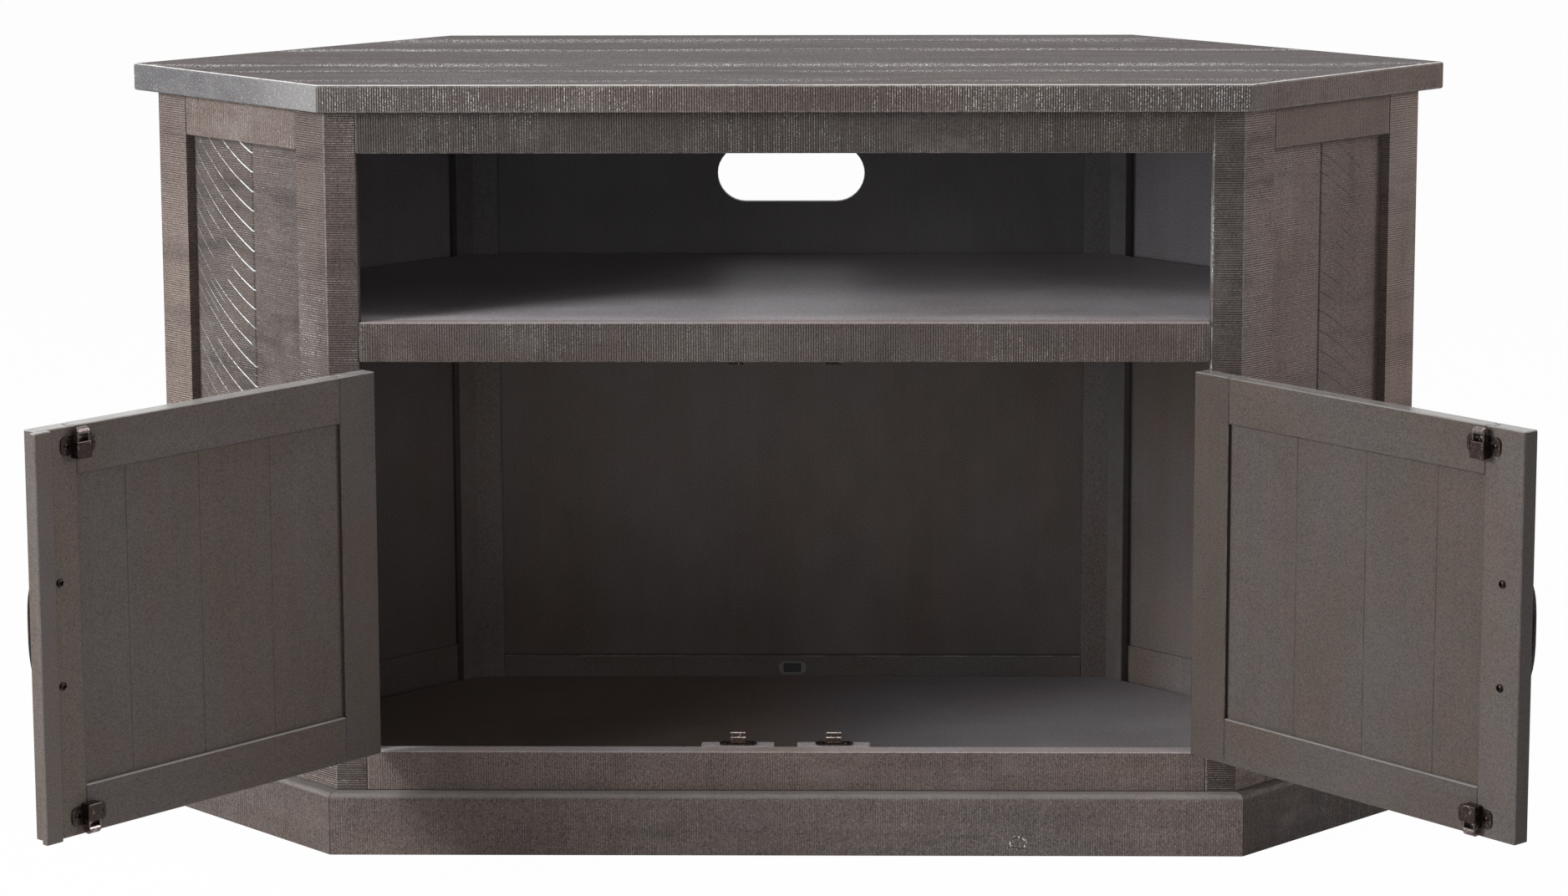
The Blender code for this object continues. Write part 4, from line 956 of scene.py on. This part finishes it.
def screws(bronze):
    """Pan heads behind the handles, and the screws of catches and strikes, each turned its own way."""
    pan = screw_head("pan_head", *PAN_HEAD)
    small = screw_head("small_head", *SMALL_HEAD)
    for side in (LEFT, RIGHT):
        word = side.word
        body = f"door_{word}"
        for end, lift in (("low", -0.5), ("high", 0.5)):
            spin = Matrix.Rotation(0.4 + lift + side.sign * 0.3, 4, "Z")
            where = door_matrix(side, HANDLE_ACROSS, DOOR_BACK, DOOR_MIDDLE + lift * HANDLE_SPACING)
            placed(f"handle_screw_{word}_{end}", pan, where @ spin, body, bronze)
        for place, height in (("bottom", DOOR_LOW + CATCH_MIDDLE), ("top", DOOR_HIGH - CATCH_MIDDLE)):
            for ear, offset in (("inner", -CATCH_EAR), ("outer", CATCH_EAR)):
                where = door_matrix(side, CATCH_ACROSS + offset, DOOR_BACK + CATCH_PLATE_TOP, height)
                spin = Matrix.Rotation(0.7 * side.sign + 40 * offset, 4, "Z")
                name = f"catch_screw_{place}_{word}_{ear}"
                placed(name, small, where @ spin, body, bronze)
        for place, low, high in (
            ("bottom", *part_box(f"strike_bottom_{word}")), ("top", *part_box(f"strike_top_{word}"))
        ):
            for ear, offset in (("left", -STRIKE_EAR), ("right", STRIKE_EAR)):
                middle = (low[0] + high[0]) / 2 + offset
                if place == "bottom":
                    where = Matrix.Translation((middle, STRIKE_Y, low[2] + STRIKE_PLATE))
                else:
                    where = Matrix.Translation((middle, STRIKE_Y, high[2] - STRIKE_PLATE))
                    where = where @ Matrix.Rotation(math.pi, 4, "X")
                spin = Matrix.Rotation(30 * offset + side.sign, 4, "Z")
                name = f"strike_screw_{place}_{word}_{ear}"
                placed(name, small, where @ spin, "carcass", bronze)


def rounded_outline(half_width, half_height, radius, steps):
    """The points of a rectangle whose corners are rounded in this many steps each."""
    outline = []
    corners = ((1, 1, 0), (-1, 1, 90), (-1, -1, 180), (1, -1, 270))
    for across, up, turn in corners:
        center = (across * (half_width - radius), up * (half_height - radius))
        for i in range(steps + 1):
            angle = math.radians(turn + 90 * i / steps)
            outline.append((center[0] + radius * math.cos(angle), center[1] + radius * math.sin(angle)))
    return outline


def solid_outline(outline, low, high):
    """The outline drawn up from one height to another."""
    form = bmesh.new()
    face = form.faces.new([form.verts.new((x, y, low)) for x, y in outline])
    raised = bmesh.ops.extrude_face_region(form, geom=[face])
    moved = [item for item in raised["geom"] if isinstance(item, bmesh.types.BMVert)]
    bmesh.ops.translate(form, verts=moved, vec=(0, 0, high - low))
    return form


def eased(piece, width, segments):
    """Round a piece's edges."""
    bevel = piece.modifiers.new("eased", "BEVEL")
    bevel.width = width
    bevel.segments = segments


def clip(plastic, dark):
    """The oval plate on the back rail, with a small latch in its rectangular socket."""
    plate = mesh_from(solid_outline(rounded_outline(*CLIP_PLATE, 10), 0.0, CLIP_THICK), "clip_plate")
    socket = solid_outline(rounded_outline(*CLIP_SOCKET, 2), SOCKET_FLOOR, SOCKET_CUT_TOP)
    plate = cut("clip_plate", plate, mesh_from(socket, "tool"))
    upright = Matrix.Rotation(math.radians(90), 4, "X")
    matrix = Matrix.Translation((0.0, BACK_RAIL_FACE, CLIP_HEIGHT)) @ upright
    shown = placed("back_rail_clip", plate, matrix, "carcass", plastic)
    eased(shown, CLIP_EASE, 2)
    form = bmesh.new()
    for low_x, high_x, tall, front in LATCH_BOXES:
        block(form, (low_x, -tall / 2, SOCKET_FLOOR), (high_x, tall / 2, front))
    latch_mesh = mesh_from(form, "clip_latch")
    latch = placed("back_rail_clip_latch", latch_mesh, matrix, "carcass", dark)
    eased(latch, LATCH_EASE, 1)


def camera():
    """The camera that took the photograph, from its place, yaw, pitch and roll."""
    data = bpy.data.cameras.new("photograph_camera")
    data.sensor_fit = "HORIZONTAL"
    data.sensor_width = SENSOR
    data.lens = FOCAL_PIXELS / FRAME_WIDTH * SENSOR
    data.shift_y = CAMERA_SHIFT
    level_right = Vector((math.cos(CAMERA_YAW), math.sin(CAMERA_YAW), 0))
    level_front = Vector((-math.sin(CAMERA_YAW), math.cos(CAMERA_YAW), 0))
    upward = Vector((0, 0, 1))
    forward = math.cos(CAMERA_PITCH) * level_front - math.sin(CAMERA_PITCH) * upward
    top = math.sin(CAMERA_PITCH) * level_front + math.cos(CAMERA_PITCH) * upward
    right = math.cos(CAMERA_ROLL) * level_right + math.sin(CAMERA_ROLL) * top
    up = -math.sin(CAMERA_ROLL) * level_right + math.cos(CAMERA_ROLL) * top
    rows = [(right[i], up[i], -forward[i], CAMERA_SPOT[i]) for i in range(3)]
    made = bpy.data.objects.new("photograph_camera", data)
    made.matrix_world = Matrix((*rows, (0, 0, 0, 1)))
    bpy.context.scene.collection.objects.link(made)
    bpy.context.scene.camera = made


def softbox(name, azimuth, elevation, distance, size, level, color):
    """A lamp aimed at the object; at level 1 it shows a face square to it in that face's own colour."""
    data = bpy.data.lights.new(name, "AREA")
    data.shape = "RECTANGLE"
    data.size, data.size_y = size
    data.energy = level * math.pi ** 2 * distance ** 2
    data.color = color
    turn = math.radians(azimuth)
    lift = math.radians(elevation)
    level_part = math.cos(lift)
    toward = Vector((-math.sin(turn) * level_part, -math.cos(turn) * level_part, math.sin(lift)))
    made = bpy.data.objects.new(name, data)
    made.location = Vector(LAMP_AIM) + toward * distance
    made.rotation_euler = toward.to_track_quat("Z", "Y").to_euler()
    bpy.context.scene.collection.objects.link(made)


def math_node(tree, operation, *sources):
    """A math node fed by these sockets or numbers."""
    made = tree.nodes.new("ShaderNodeMath")
    made.operation = operation
    for socket, source in zip(made.inputs, sources):
        if isinstance(source, bpy.types.NodeSocket):
            tree.links.new(source, socket)
        else:
            socket.default_value = source
    return made.outputs[0]


def white_world():
    """White to the camera, in reflections and through glass, and no part of the diffuse light."""
    world = bpy.data.worlds.new("studio")
    bpy.context.scene.world = world
    world.use_nodes = True
    tree = world.node_tree
    back = tree.nodes["Background"]
    path = tree.nodes.new("ShaderNodeLightPath").outputs
    seen = math_node(tree, "MAXIMUM", path["Is Camera Ray"], path["Is Transmission Ray"])
    back.inputs["Color"].default_value = (1, 1, 1, 1)
    tree.links.new(math_node(tree, "MAXIMUM", seen, path["Is Glossy Ray"]), back.inputs["Strength"])


def studio_floor():
    """A pale floor, nearly white to the camera, which keeps a trace of the object's shadow."""
    form = bmesh.new()
    corners = ((-1, -1), (1, -1), (1, 1), (-1, 1))
    form.faces.new([form.verts.new((x * FLOOR_HALF, y * FLOOR_HALF, FLOOR_LEVEL)) for x, y in corners])
    floor = bpy.data.objects.new("studio_floor", mesh_from(form, "studio_floor"))
    bpy.context.scene.collection.objects.link(floor)
    finish = bpy.data.materials.new("studio_floor")
    finish.use_nodes = True
    tree = finish.node_tree
    shader = tree.nodes["Principled BSDF"]
    shader.inputs["Base Color"].default_value = (*FLOOR_COLOR, 1)
    shader.inputs["Roughness"].default_value = 0.9
    shader.inputs["Specular IOR Level"].default_value = 0.0
    white = tree.nodes.new("ShaderNodeEmission")
    white.inputs["Strength"].default_value = 1.0
    path = tree.nodes.new("ShaderNodeLightPath").outputs
    mixed = tree.nodes.new("ShaderNodeMixShader")
    tree.links.new(math_node(tree, "MULTIPLY", path["Is Camera Ray"], FLOOR_WHITE), mixed.inputs[0])
    tree.links.new(shader.outputs[0], mixed.inputs[1])
    tree.links.new(white.outputs[0], mixed.inputs[2])
    tree.links.new(mixed.outputs[0], tree.nodes["Material Output"].inputs["Surface"])
    floor.data.materials.append(finish)


def main():
    camera()
    white_world()
    studio_floor()
    for lamp in LAMPS:
        softbox(*lamp)
    bronze = paint_nodes(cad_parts)
    screws(bronze)
    plate = moulded_plastic("clip_plate_plastic", PLATE_PLASTIC, 0.45)
    dark = moulded_plastic("clip_socket_plastic", SOCKET_PLASTIC, 0.5)
    clip(plate, dark)
    bpy.context.scene.view_settings.view_transform = "Standard"


main()
